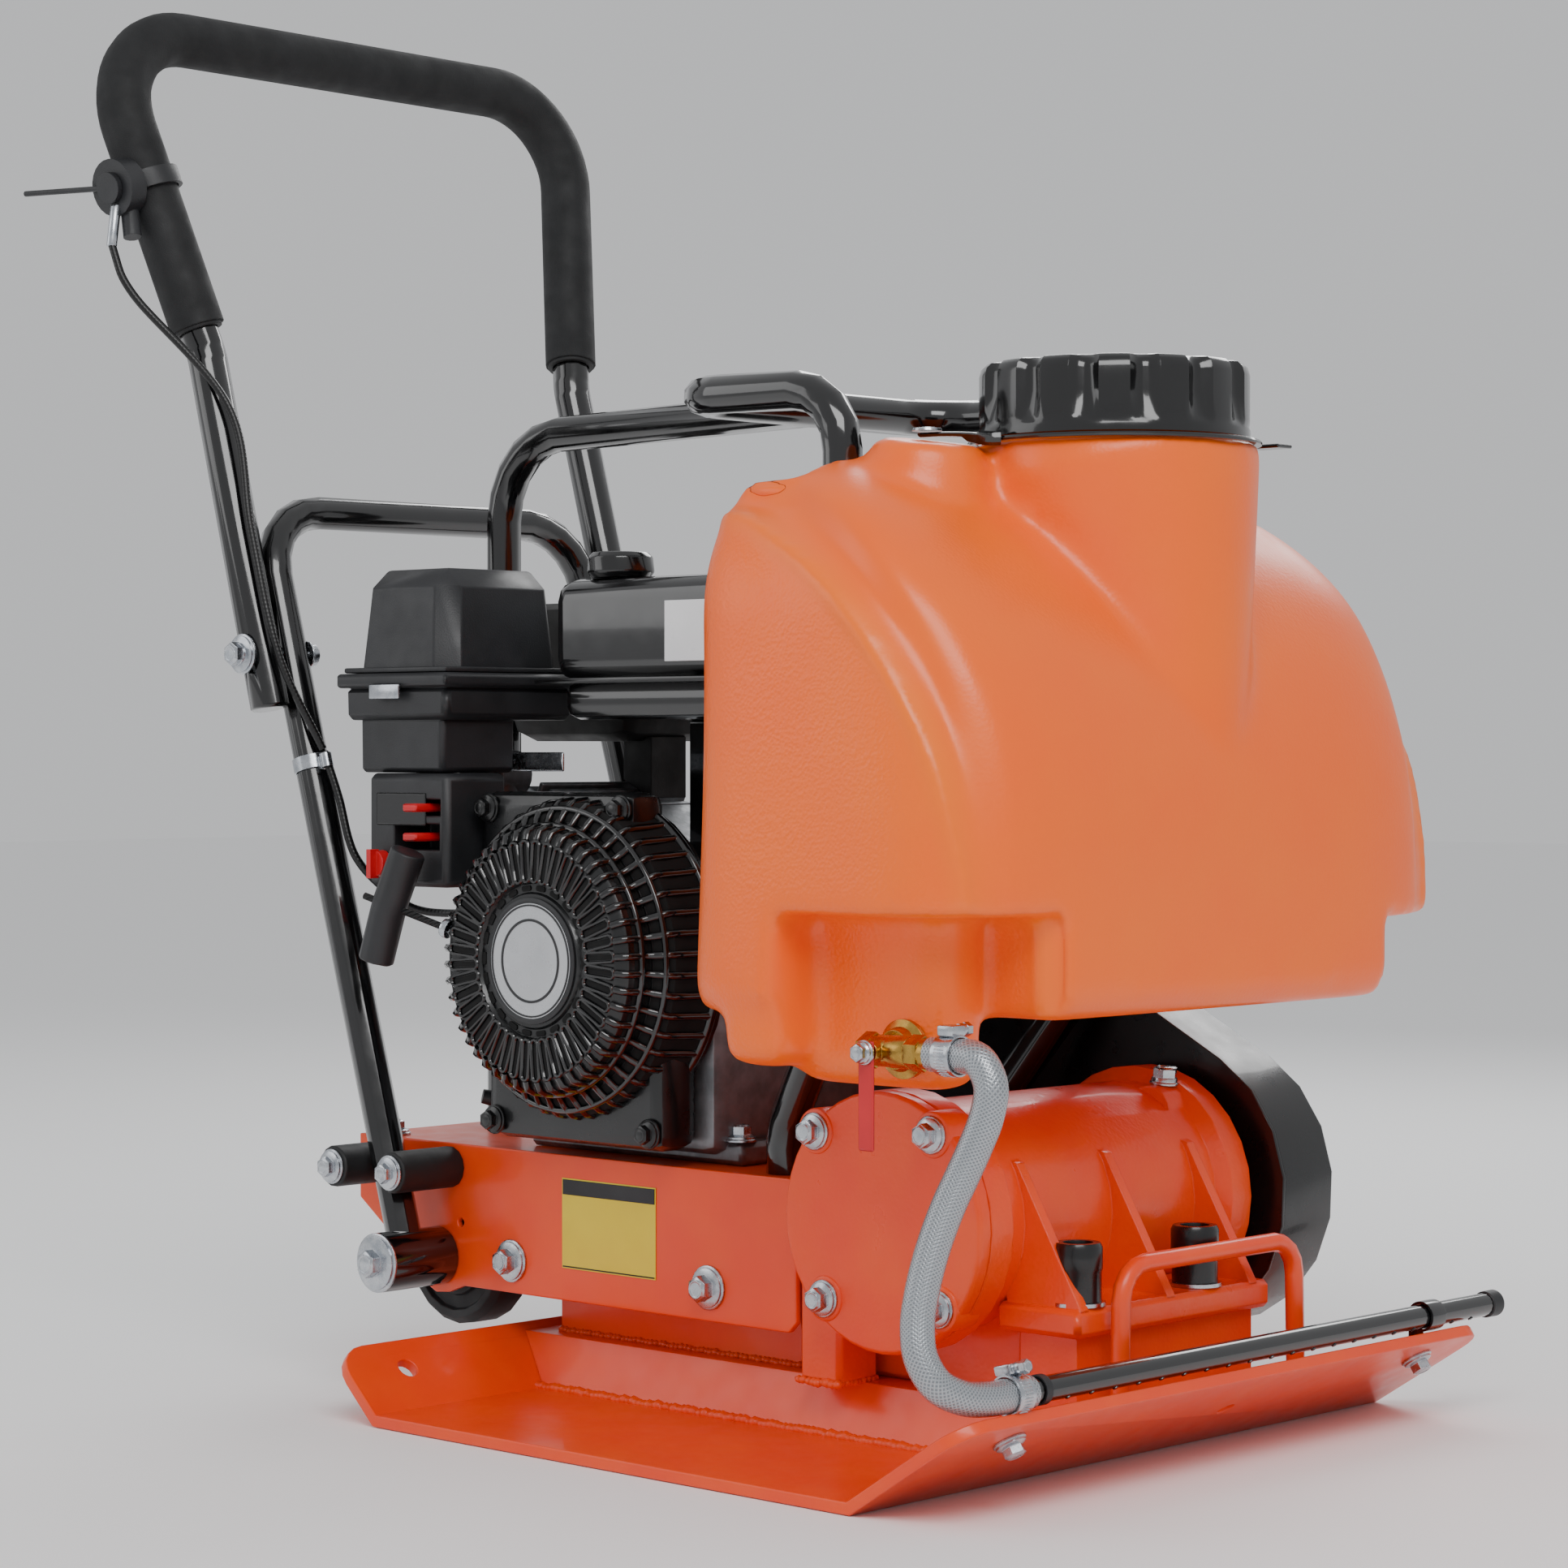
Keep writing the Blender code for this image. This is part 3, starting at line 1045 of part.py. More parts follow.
def grip_route():
    """The foam's own line: it starts and ends square to the legs at the grip's height."""
    y = upper_leg_y()
    slope = (-0.4690 - FOLD[0]) / (GRIP_START - FOLD[1])
    bend = Vector((FOLD[0] + slope * (0.655 - FOLD[1]), -y, 0.655))
    top = Vector(HANDLE_TOP) * Vector((1, -1, 1))
    start = bend.lerp(top, (GRIP_START - bend.z) / (top.z - bend.z))
    path = upper_path()
    inner = [point for point in path if point.z > GRIP_START + 0.010]
    return [start, *inner, start * Vector((1, -1, 1))]


def make_fold_bolts(looks):
    """A bolt through each pair of legs, its head outside and its nut inside."""
    outer = upper_leg_y() + UPPER_TUBE + GAP
    inner = LEG_Y - LOWER_TUBE - GAP
    for sign, side in SIDES:
        profile = [(0.0, inner - 0.010), (0.0040, inner - 0.010), (0.0040, inner - 0.007),
                   (0.0075, inner - 0.007),
                   (0.0075, inner - 0.0015), (0.0095, inner - 0.0015), (0.0095, inner), (0.0039, inner),
                   (0.0039, outer), (0.0095, outer), (0.0095, outer + 0.0015), (0.0075, outer + 0.0015),
                   (0.0075, outer + 0.007), (0.0, outer + 0.007)]
        mesh = turned([(radius, sign * y) for radius, y in profile], FOLD, 12)
        to_object(f"fold_bolt_{side}", mesh, looks["zinc"])


def throttle_place():
    """The point of the right leg that the throttle sits on, and the leg's direction there."""
    y = upper_leg_y()
    slope = (-0.4690 - FOLD[0]) / (GRIP_START - FOLD[1])
    bend = Vector((FOLD[0] + slope * (0.655 - FOLD[1]), -y, 0.655))
    top = Vector(HANDLE_TOP) * Vector((1, -1, 1))
    return bend.lerp(top, 0.52), (top - bend).normalized()


def make_throttle(looks, pivot):
    """The housing clamped on the grip, and its lever."""
    place, along = throttle_place()
    outward = Vector((0.10, -0.97, -0.20)).normalized()
    outward = (outward - along * outward.dot(along)).normalized()
    seat = place + outward * (GRIP_RADIUS + GAP)
    housing = to_object("throttle_housing", rod(seat, seat + outward * 0.013, 0.0185, 24),
                        looks["black_plastic"], pivot, pivot.location)
    ring_low, ring_high = place - along * 0.006, place + along * 0.006
    join(housing, rod(ring_low, ring_high, GRIP_RADIUS + 0.003, 24),
         rod(seat + outward * 0.001 - along * 0.004, seat + outward * 0.010 - along * 0.034, 0.0060, 12))
    cut(housing, rod(place - along * 0.05, place + along * 0.05, GRIP_RADIUS + GAP, 32))
    hub = seat + outward * (0.013 + GAP)
    rearward = (Vector((-1.0, 0.0, 0.06)) - outward * Vector((-1.0, 0.0, 0.06)).dot(outward)).normalized()
    lever = to_object("throttle_lever", rod(hub, hub + outward * 0.004, 0.0100, 20), looks["black_plastic"],
                      pivot, hub)
    blade_start, blade_end = hub + outward * 0.002, hub + outward * 0.002 + rearward * 0.080
    join(lever, tube([blade_start, blade_end], 0.0019, 2))
    return lever


def make_cables(looks, pivot):
    """The throttle cable in two lengths: down the upper handle, and on to the engine."""
    place, along = throttle_place()
    y = LEG_Y - LOWER_TUBE - 0.0050
    slope = (-0.4690 - FOLD[0]) / (GRIP_START - FOLD[1])
    lead = Vector((0.0205, -0.0065, 0.0))
    start = place + Vector((0.0050, -0.0330, -0.0420))
    meet = Vector((leg_at(0.400) + 0.0185, -LEG_Y - 0.004, 0.400))
    upper = [start, place + Vector((0.018, -0.026, -0.075)),
             Vector((FOLD[0] + slope * (0.620 - FOLD[1]), -upper_leg_y(), 0.620)) + lead,
             Vector((FOLD[0] + slope * (0.540 - FOLD[1]), -upper_leg_y(), 0.540)) + lead,
             Vector((FOLD[0], -upper_leg_y(), FOLD[1])) + lead + Vector((0.0, 0.004, 0.0)), meet]
    curve_object("throttle_cable_upper", smooth_path(upper, 34), 0.0026, looks["rubber"], 2)
    begin = meet + (meet - Vector(upper[-2])).normalized() * 0.0020
    lower = [begin, Vector((leg_at(0.370) + 0.0200, -LEG_Y, 0.370)), (-0.3470, -0.1350, 0.330),
             (-0.3280, -0.1120, 0.3020), (-0.3050, -0.0985, 0.2960), (-0.2750, -0.0975, 0.3010),
             (-0.2560, -0.0960, 0.3250), (GOVERNOR[0] - 0.0345, GOVERNOR[1] - 0.0015, 0.3500),
             (GOVERNOR[0] - 0.0345, GOVERNOR[1], 0.3700)]
    curve_object("throttle_cable_lower", smooth_path(lower, 30), 0.0026, looks["rubber"], 2)


# ---------------------------------------------------------------- build
def main():
    for old in list(bpy.data.objects):
        bpy.data.objects.remove(old)
    looks = make_finishes()
    make_plate(looks)
    make_riser(looks)
    make_isolators(looks)
    make_deck(looks)
    make_axle_and_wheels(looks)
    make_bumpers(looks)
    make_exciter_housing(looks)
    make_exciter_cover(looks)
    make_exciter_inside(looks)
    make_lifting_loop(looks)
    make_pipe(looks)
    make_hose(looks)
    make_valve(looks)
    make_tank(looks)
    make_tank_cap(looks)
    make_guard_frame(looks)
    make_crankcase(looks)
    make_cylinder_head(looks)
    make_crank(looks)
    make_belt(looks)
    make_belt_guard(looks)
    make_fan_housing(looks)
    make_recoil(looks)
    make_fuel_tank(looks)
    make_air_cleaner(looks)
    make_carburettor(looks)
    make_controls(looks)
    make_throttle_arm(looks)
    make_muffler(looks)
    handle_pivot = pivot_empty("handle_pivot", (AXLE_X, 0.0, AXLE_Z))
    fold_pivot = pivot_empty("fold_pivot", (FOLD[0], 0.0, FOLD[1]))
    make_lower_handle(looks, handle_pivot)
    make_upper_handle(looks, fold_pivot)
    make_fold_bolts(looks)
    make_throttle(looks, fold_pivot)
    make_cables(looks, fold_pivot)


main()
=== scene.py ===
"""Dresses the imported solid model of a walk-behind plate compactor.

The solid model gives every place and size. This file adds the finishes, and
the pieces whose look needs more shape than the solids hold: the blow-moulded
tank, the recoil starter, the hose, the fasteners, the welds and the grips.
"""

import json
import logging
import math
import random
from dataclasses import dataclass
from enum import Enum
from typing import Any, Iterable, Optional, Sequence

import bmesh
import bpy
from mathutils import Matrix, Vector

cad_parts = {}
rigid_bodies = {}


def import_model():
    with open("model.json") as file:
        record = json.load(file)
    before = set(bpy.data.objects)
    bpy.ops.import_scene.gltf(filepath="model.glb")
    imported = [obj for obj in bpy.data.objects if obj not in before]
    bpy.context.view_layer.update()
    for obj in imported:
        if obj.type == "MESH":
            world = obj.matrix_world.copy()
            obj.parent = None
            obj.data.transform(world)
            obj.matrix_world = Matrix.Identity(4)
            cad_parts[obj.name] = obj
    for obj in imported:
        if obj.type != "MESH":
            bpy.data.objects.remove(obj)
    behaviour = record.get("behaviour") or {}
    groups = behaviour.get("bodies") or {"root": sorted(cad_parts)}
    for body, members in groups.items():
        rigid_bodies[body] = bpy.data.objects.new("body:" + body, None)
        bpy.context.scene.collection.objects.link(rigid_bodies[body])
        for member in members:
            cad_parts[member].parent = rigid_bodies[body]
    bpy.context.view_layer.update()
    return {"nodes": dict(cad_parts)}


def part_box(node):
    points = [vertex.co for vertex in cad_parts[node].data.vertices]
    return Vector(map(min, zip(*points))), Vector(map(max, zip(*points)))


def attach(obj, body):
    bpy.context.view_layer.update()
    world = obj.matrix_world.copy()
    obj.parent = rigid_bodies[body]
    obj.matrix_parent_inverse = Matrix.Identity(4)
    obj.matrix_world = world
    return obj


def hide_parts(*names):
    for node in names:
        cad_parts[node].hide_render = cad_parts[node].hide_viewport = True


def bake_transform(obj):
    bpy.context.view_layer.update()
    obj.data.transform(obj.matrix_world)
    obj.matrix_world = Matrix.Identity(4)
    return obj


for startup in list(bpy.data.objects):
    bpy.data.objects.remove(startup)
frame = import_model()

log = logging.getLogger("compactor")
Point = Sequence[float]
Shape = bmesh.types.BMesh
SMOOTH_BELOW = math.radians(34)     # an edge flatter than this is shaded round
WELD_GAP = 1e-6                     # metres between points that are one point
MM = 0.001


class Body(Enum):
    """The bodies that this file's pieces ride on."""

    MACHINE = "machine"
    LOWER_HANDLE = "lower_grip_frame"
    UPPER_HANDLE = "upper_grip_frame"
    TANK_LID = "tank_lid"
    STARTER = "starter_grip"
    WATER_VALVE = "water_valve"


# ---------------------------------------------------------------- shader nodes
def linear(code: str) -> tuple[float, float, float, float]:
    """Turn an sRGB colour into the linear values a shader takes.

    Args:
        code: six hex digits, with or without a leading hash.

    Returns:
        Linear red, green, blue and an alpha of one.
    """
    digits = code.lstrip("#")
    values = [int(digits[start:start + 2], 16) / 255 for start in (0, 2, 4)]
    lit = [v / 12.92 if v <= 0.04045 else ((v + 0.055) / 1.055) ** 2.4 for v in values]
    return (lit[0], lit[1], lit[2], 1.0)


def add(tree: bpy.types.NodeTree, kind: str, settings: Optional[dict[str, Any]] = None,
        inputs: Optional[dict[Any, Any]] = None) -> bpy.types.Node:
    """Add one node with its settings, values and links.

    Args:
        tree: the material's node tree.
        kind: the node's type name, after "ShaderNode".
        settings: attributes to set on the node.
        inputs: a value or an output socket for each input, by name or number.

    Returns:
        The new node.
    """
    node = tree.nodes.new("ShaderNode" + kind)
    for name, value in (settings or {}).items():
        setattr(node, name, value)
    for key, value in (inputs or {}).items():
        if isinstance(value, bpy.types.NodeSocket):
            tree.links.new(value, node.inputs[key])
        else:
            node.inputs[key].default_value = value
    return node


# ---------------------------------------------------------------- finishes
@dataclass(frozen=True)
class Finish:
    """A surface: two near colours in soft patches, a spread of roughness and a fine relief.

    The patches, the relief and the roughness are noises in the piece's own
    coordinates, each at a real size in millimetres.
    """

    name: str
    slot: str
    colour: str
    second: str
    roughness: tuple[float, float]
    metallic: float = 0.0
    coat: float = 0.0
    patch_mm: float = 45.0
    relief_mm: float = 1.2
    relief_height_mm: float = 0.02
    edge_mm: float = 0.8
    ior: float = 1.5

    def material(self) -> bpy.types.Material:
        """Return the finish's material, making it the first time."""
        found = bpy.data.materials.get(self.name)
        if found:
            return found
        made = bpy.data.materials.new(self.name)
        made.use_nodes = True
        made.diffuse_color = linear(self.colour)
        tree = made.node_tree
        tree.nodes.clear()
        place = add(tree, "TexCoord").outputs["Object"]
        shader = add(tree, "BsdfPrincipled", None, self.sockets())
        tree.links.new(self.tone(tree, place), shader.inputs["Base Color"])
        tree.links.new(self.polish(tree, place), shader.inputs["Roughness"])
        tree.links.new(self.relief(tree, place), shader.inputs["Normal"])
        add(tree, "OutputMaterial", None, {"Surface": shader.outputs["BSDF"]})
        return made

    def sockets(self) -> dict[str, Any]:
        """Return the values that are the same all over the surface."""
        values: dict[str, Any] = {"Metallic": self.metallic, "Coat Weight": self.coat, "Coat Roughness": 0.06}
        if self.metallic < 0.5:
            values["IOR"] = self.ior
        return values

    def tone(self, tree: bpy.types.NodeTree, place: bpy.types.NodeSocket) -> bpy.types.NodeSocket:
        """Mix the two colours in soft patches."""
        patches = add(tree, "TexNoise", None, {"Vector": place, "Scale": 1000 / self.patch_mm, "Detail": 4.0})
        share = add(tree, "MapRange", None, {"Value": patches.outputs[0], "From Min": 0.35, "From Max": 0.68})
        mix = add(tree, "Mix", {"data_type": "RGBA"},
                  {0: share.outputs[0], 6: linear(self.colour), 7: linear(self.second)})
        return mix.outputs[2]

    def polish(self, tree: bpy.types.NodeTree, place: bpy.types.NodeSocket) -> bpy.types.NodeSocket:
        """Spread the roughness between its two ends."""
        low, high = self.roughness
        wear = add(tree, "TexNoise", None, {"Vector": place, "Scale": 1000 / (self.patch_mm * 0.37), "Detail": 5.0})
        spread = add(tree, "MapRange", None,
                     {"Value": wear.outputs[0], "From Min": 0.3, "From Max": 0.7, "To Min": low, "To Max": high})
        return spread.outputs[0]

    def relief(self, tree: bpy.types.NodeTree, place: bpy.types.NodeSocket) -> bpy.types.NodeSocket:
        """Round the edges and lay the fine relief over them."""
        rounded = add(tree, "Bevel", {"samples": 4}, {"Radius": self.edge_mm * MM})
        grain = self.grain(tree, place)
        bump = add(tree, "Bump", None, {"Strength": 1.0, "Distance": self.relief_height_mm * MM,
                                        "Height": grain, "Normal": rounded.outputs[0]})
        return bump.outputs[0]

    def grain(self, tree: bpy.types.NodeTree, place: bpy.types.NodeSocket) -> bpy.types.NodeSocket:
        """Return the height of the fine relief, from 0 to 1."""
        noise = add(tree, "TexNoise", None, {"Vector": place, "Scale": 1000 / self.relief_mm, "Detail": 2.0})
        return noise.outputs[0]


@dataclass(frozen=True)
class CastFinish(Finish):
    """Sand-cast metal: a pitted skin with larger dips under the paint or the bare metal."""

    pit_mm: float = 2.4

    def grain(self, tree: bpy.types.NodeTree, place: bpy.types.NodeSocket) -> bpy.types.NodeSocket:
        """Add pits from cells to the fine noise."""
        fine = super().grain(tree, place)
        cells = add(tree, "TexVoronoi", {"feature": "SMOOTH_F1"}, {"Vector": place, "Scale": 1000 / self.pit_mm})
        both = add(tree, "Math", {"operation": "MULTIPLY_ADD"}, {0: cells.outputs["Distance"], 1: 0.9, 2: fine})
        return both.outputs[0]


@dataclass(frozen=True)
class CellFinish(Finish):
    """Foam or pebbled plastic: round cells close together."""

    def grain(self, tree: bpy.types.NodeTree, place: bpy.types.NodeSocket) -> bpy.types.NodeSocket:
        """Return round cells."""
        cells = add(tree, "TexVoronoi", {"feature": "SMOOTH_F1"},
                    {"Vector": place, "Scale": 1000 / self.relief_mm, "Smoothness": 0.6})
        return cells.outputs["Distance"]


@dataclass(frozen=True)
class PebbledTank(Finish):
    """Blow-moulded polyethylene: smooth ridges, with a leather grain on the broad faces.

    The grain follows the attribute "pad", 1 on a grained face and 0 on a ridge. A paler band along each pad's edge is
    a painted highlight.
    """

    # Painted highlight: the paler orange laid along each pad's edge.
    ridge: str = "#FF8200"

    def tone(self, tree: bpy.types.NodeTree, place: bpy.types.NodeSocket) -> bpy.types.NodeSocket:
        """Lighten the band along each pad's edge with a painted highlight."""
        mixed = super().tone(tree, place)
        pad_edge_highlight = add(tree, "Attribute", {"attribute_name": "pad_edge_highlight"}).outputs["Fac"]
        mix = add(tree, "Mix", {"data_type": "RGBA"}, {0: pad_edge_highlight, 6: mixed, 7: linear(self.ridge)})
        return mix.outputs[2]

    def grain(self, tree: bpy.types.NodeTree, place: bpy.types.NodeSocket) -> bpy.types.NodeSocket:
        """Lay two sizes of pebble, only where the mould was grained."""
        cells = add(tree, "TexVoronoi", {"feature": "SMOOTH_F1"},
                    {"Vector": place, "Scale": 1000 / self.relief_mm, "Smoothness": 0.5})
        warp = add(tree, "TexNoise", None, {"Vector": place, "Scale": 1000 / (self.relief_mm * 1.6), "Detail": 3.0})
        both = add(tree, "Math", {"operation": "ADD"}, {0: cells.outputs["Distance"], 1: warp.outputs[0]})
        pad = add(tree, "Attribute", {"attribute_name": "pad"}).outputs["Fac"]
        shown = add(tree, "Math", {"operation": "MULTIPLY"}, {0: both.outputs[0], 1: pad})
        return shown.outputs[0]


@dataclass(frozen=True)
class WoundFinish(Finish):
    """A braid or a lay of strands round a tube.

    It reads the attribute "lay": metres along the tube, then the cosine and
    the sine of the angle round it.
    """

    strands: int = 16
    lay_mm: float = 14.0
    crossed: bool = True

    def waves(self, tree: bpy.types.NodeTree, sense: float) -> bpy.types.NodeSocket:
        """Return one set of strands, wound one way round."""
        parts = add(tree, "SeparateXYZ", None,
                    {0: add(tree, "Attribute", {"attribute_name": "lay"}).outputs["Vector"]})
        angle = add(tree, "Math", {"operation": "ARCTAN2"}, {0: parts.outputs[2], 1: parts.outputs[1]})
        turns = add(tree, "Math", {"operation": "MULTIPLY"}, {0: angle.outputs[0], 1: float(self.strands)})
        along = add(tree, "Math", {"operation": "MULTIPLY_ADD"},
                    {0: parts.outputs[0], 1: sense * math.tau * self.strands / (self.lay_mm * MM * 4),
                     2: turns.outputs[0]})
        wave = add(tree, "Math", {"operation": "SINE"}, {0: along.outputs[0]})
        return wave.outputs[0]

    def grain(self, tree: bpy.types.NodeTree, place: bpy.types.NodeSocket) -> bpy.types.NodeSocket:
        """Return the strands' height."""
        one = self.waves(tree, 1.0)
        if not self.crossed:
            return one
        both = add(tree, "Math", {"operation": "MAXIMUM"}, {0: one, 1: self.waves(tree, -1.0)})
        return both.outputs[0]

    def tone(self, tree: bpy.types.NodeTree, place: bpy.types.NodeSocket) -> bpy.types.NodeSocket:
        """Darken the gaps between strands with painted shade."""
        share = add(tree, "MapRange", None, {"Value": self.grain(tree, place), "From Min": -0.2, "From Max": 0.9})
        mix = add(tree, "Mix", {"data_type": "RGBA"},
                  {0: share.outputs[0], 6: linear(self.second), 7: linear(self.colour)})
        return mix.outputs[2]


# Polyester powder coat, baked on folded steel: an even skin with a faint orange peel.
ORANGE_POWDER = Finish("orange_powder_coat", "orange_paint", "#F04000", "#F44C00", (0.28, 0.40), coat=0.15,
                       relief_mm=2.2, relief_height_mm=0.035, edge_mm=1.0)
# The same coat on a sand casting, so the sand's pits show through it.
ORANGE_CASTING = CastFinish("orange_painted_casting", "orange_paint", "#F04000", "#F44E00", (0.27, 0.42), coat=0.15,
                            relief_mm=3.0, relief_height_mm=0.12, edge_mm=1.6)
# Linear polyethylene, blow moulded: satin, a lighter orange, slightly waxy.
TANK_ORANGE = PebbledTank("blow_moulded_polyethylene", "orange_tank", "#FF6400", "#FF6C00", (0.28, 0.38),
                          patch_mm=90.0, relief_mm=2.1, relief_height_mm=0.22, edge_mm=0.5, ior=1.51)
# Stoved enamel on tube and pressed sheet: near black, mirror highlights.
GLOSS_BLACK = Finish("gloss_black_enamel", "black_paint", "#060607", "#0B0B0D", (0.10, 0.20), coat=0.8,
                     relief_mm=5.0, relief_height_mm=0.025, edge_mm=0.8)
# Semi-gloss baked enamel on the blower housing and the starter cover.
SATIN_BLACK = Finish("satin_black_enamel", "black_paint", "#08090A", "#101113", (0.24, 0.36), coat=0.25,
                     relief_mm=1.6, relief_height_mm=0.03, edge_mm=0.5)
# High-heat paint on the muffler: dull and dusty.
HEAT_BLACK = CastFinish("heat_resistant_paint", "black_paint", "#141414", "#1C1B1A", (0.55, 0.75),
                        relief_mm=0.9, relief_height_mm=0.05, pit_mm=1.4)
# Glass-filled nylon, spark-eroded mould: dark grey with a fine even texture.
GREY_PLASTIC = CellFinish("textured_nylon", "black_plastic", "#1B1C1E", "#232427", (0.42, 0.55),
                          relief_mm=0.9, relief_height_mm=0.05, edge_mm=0.7, ior=1.53)
# Polished ABS on the tank's cap.
CAP_PLASTIC = Finish("polished_abs", "black_plastic", "#060607", "#0A0A0B", (0.12, 0.20), coat=0.5,
                     relief_mm=6.0, relief_height_mm=0.02, edge_mm=0.6, ior=1.53)
# Closed-cell nitrile foam: matt, with pores drawn twice their size so that they show.
FOAM = CellFinish("closed_cell_foam", "black_foam", "#101112", "#17181A", (0.62, 0.80),
                  relief_mm=0.9, relief_height_mm=0.09, edge_mm=1.5)
# Moulded natural rubber: dull, a little grey from bloom.
RUBBER = Finish("moulded_rubber", "rubber", "#131415", "#1E1F21", (0.50, 0.70),
                relief_mm=0.8, relief_height_mm=0.04, edge_mm=1.0)
# Zinc plate with a clear passivate: bright and faintly blue.
ZINC = Finish("zinc_plate", "zinc", "#C9CCD0", "#AEB3BA", (0.16, 0.32), metallic=1.0,
              patch_mm=6.0, relief_mm=0.7, relief_height_mm=0.008, edge_mm=0.5)
# Ground steel on shafts and drums.
STEEL = Finish("ground_steel", "steel", "#8E9196", "#74777C", (0.25, 0.42), metallic=1.0,
               patch_mm=9.0, relief_mm=0.8, relief_height_mm=0.01, edge_mm=0.5)
# Die-cast aluminium alloy, left bare: grey, grainy and matt.
ALUMINIUM = CastFinish("die_cast_aluminium", "cast_aluminium", "#8B8D90", "#737679", (0.42, 0.58), metallic=0.9,
                       patch_mm=12.0, relief_mm=1.0, relief_height_mm=0.05, pit_mm=1.8)
# Forged and turned brass: warm, with a faint brown cast.
BRASS = Finish("turned_brass", "brass", "#C39A4E", "#A67F3A", (0.20, 0.36), metallic=1.0,
               patch_mm=7.0, relief_mm=0.8, relief_height_mm=0.012, edge_mm=0.5)
# Self-coloured nylon on the levers.
RED_NYLON = Finish("red_nylon", "red_plastic", "#C2101A", "#D21B22", (0.28, 0.40), relief_mm=0.8,
                   relief_height_mm=0.02, edge_mm=0.5, ior=1.53)
# Clear vinyl hose over a polyester braid: silvery, the threads show through; its darker second colour is painted
# shade between the threads.
BRAIDED_HOSE = WoundFinish("braided_vinyl_hose", "clear_hose", "#AEB2B6", "#7E8388", (0.20, 0.30), metallic=0.55,
                           coat=0.5, relief_height_mm=0.10, edge_mm=0.2, strands=20, lay_mm=11.0)
# Nylon rope with three strands; its near-black second colour is painted shade between them.
ROPE = WoundFinish("laid_nylon_rope", "black_foam", "#191A1B", "#060606", (0.55, 0.7),
                   relief_height_mm=0.45, edge_mm=0.2, strands=3, lay_mm=3.0, crossed=False)
# Vinyl over a wound steel casing: the wire's turns print through, drawn coarser than real; its darker second colour
# is painted shade between the turns.
CABLE_SKIN = WoundFinish("vinyl_cable_casing", "rubber", "#0D0D0E", "#070707", (0.30, 0.42),
                         relief_height_mm=0.04, edge_mm=0.2, strands=1, lay_mm=0.7, crossed=False)
# Silvered polyester film, left blank.
BLANK_PLATE = Finish("blank_polyester_plate", "zinc", "#E4E5E6", "#D9DBDD", (0.25, 0.35), metallic=0.0, coat=0.5,
                     relief_mm=3.0, relief_height_mm=0.01, edge_mm=0.2)
# Silvered film on the badge, left blank.
BADGE_FILM = Finish("blank_badge_film", "zinc", "#C8CACD", "#BFC1C4", (0.22, 0.32), metallic=0.55, coat=0.5,
                    relief_mm=3.0, relief_height_mm=0.008, edge_mm=0.2)
# Painted shade behind a vent: a near-black surface that stands in for the dark inside.
PAINTED_VENT_SHADE = Finish("painted_vent_shade", "black_paint", "#010101", "#020202", (0.85, 0.95), relief_mm=2.0,
                    relief_height_mm=0.01, edge_mm=0.2)
# Yellow vinyl film, left blank.
YELLOW_PLATE = Finish("blank_yellow_vinyl", "brass", "#E8D21C", "#DFC718", (0.30, 0.42), coat=0.2,
                      relief_mm=3.0, relief_height_mm=0.01, edge_mm=0.2)


# ---------------------------------------------------------------- shapes
def unit(axis: Point) -> Vector:
    """Return the axis at length one."""
    return Vector(axis).normalized()


def aside(axis: Point) -> Vector:
    """Return a unit vector square to the axis."""
    line = unit(axis)
    other = Vector((0, 0, 1)) if abs(line.z) < 0.9 else Vector((1, 0, 0))
    return line.cross(other).normalized()


def box(bm: Shape, low: Point, high: Point, edge: float = 0.0, segments: int = 2) -> list[bmesh.types.BMVert]:
    """Add a box, its edges rounded where edge is above zero.

    Args:
        bm: the shape to add to.
        low: the lowest corner.
        high: the highest corner.
        edge: the radius of the edges.
        segments: the steps in each rounding.

    Returns:
        The new vertices.
    """
    low, high = Vector(low), Vector(high)
    size = high - low
    matrix = Matrix.Translation((low + high) / 2) @ Matrix.Diagonal((*size, 1.0))
    made = bmesh.ops.create_cube(bm, size=1.0, matrix=matrix)["verts"]
    if edge <= 0:
        return made
    edges = list({line for vert in made for line in vert.link_edges})
    beveled = bmesh.ops.bevel(bm, geom=edges, offset=edge, segments=segments, affect="EDGES",
                              profile=0.5, material=-1)
    return list({vert for face in beveled["faces"] for vert in face.verts})


def rod(bm: Shape, start: Point, end: Point, radius: float, end_radius: Optional[float] = None,
        sides: int = 24, edge: float = 0.0) -> None:
    """Add a round bar or a cone from start to end, its rims rounded where edge is above zero."""
    start, end = Vector(start), Vector(end)
    line = end - start
    matrix = Matrix.Translation((start + end) / 2) @ line.to_track_quat("Z", "Y").to_matrix().to_4x4()
    made = bmesh.ops.create_cone(bm, cap_ends=True, cap_tris=False, segments=sides, radius1=radius,
                                 radius2=radius if end_radius is None else end_radius,
                                 depth=line.length, matrix=matrix)["verts"]
    if edge <= 0:
        return
    rims = {line for vert in made for line in vert.link_edges if any(len(face.verts) > 4 for face in line.link_faces)}
    bmesh.ops.bevel(bm, geom=list(rims), offset=edge, segments=2, affect="EDGES", profile=0.5, material=-1)


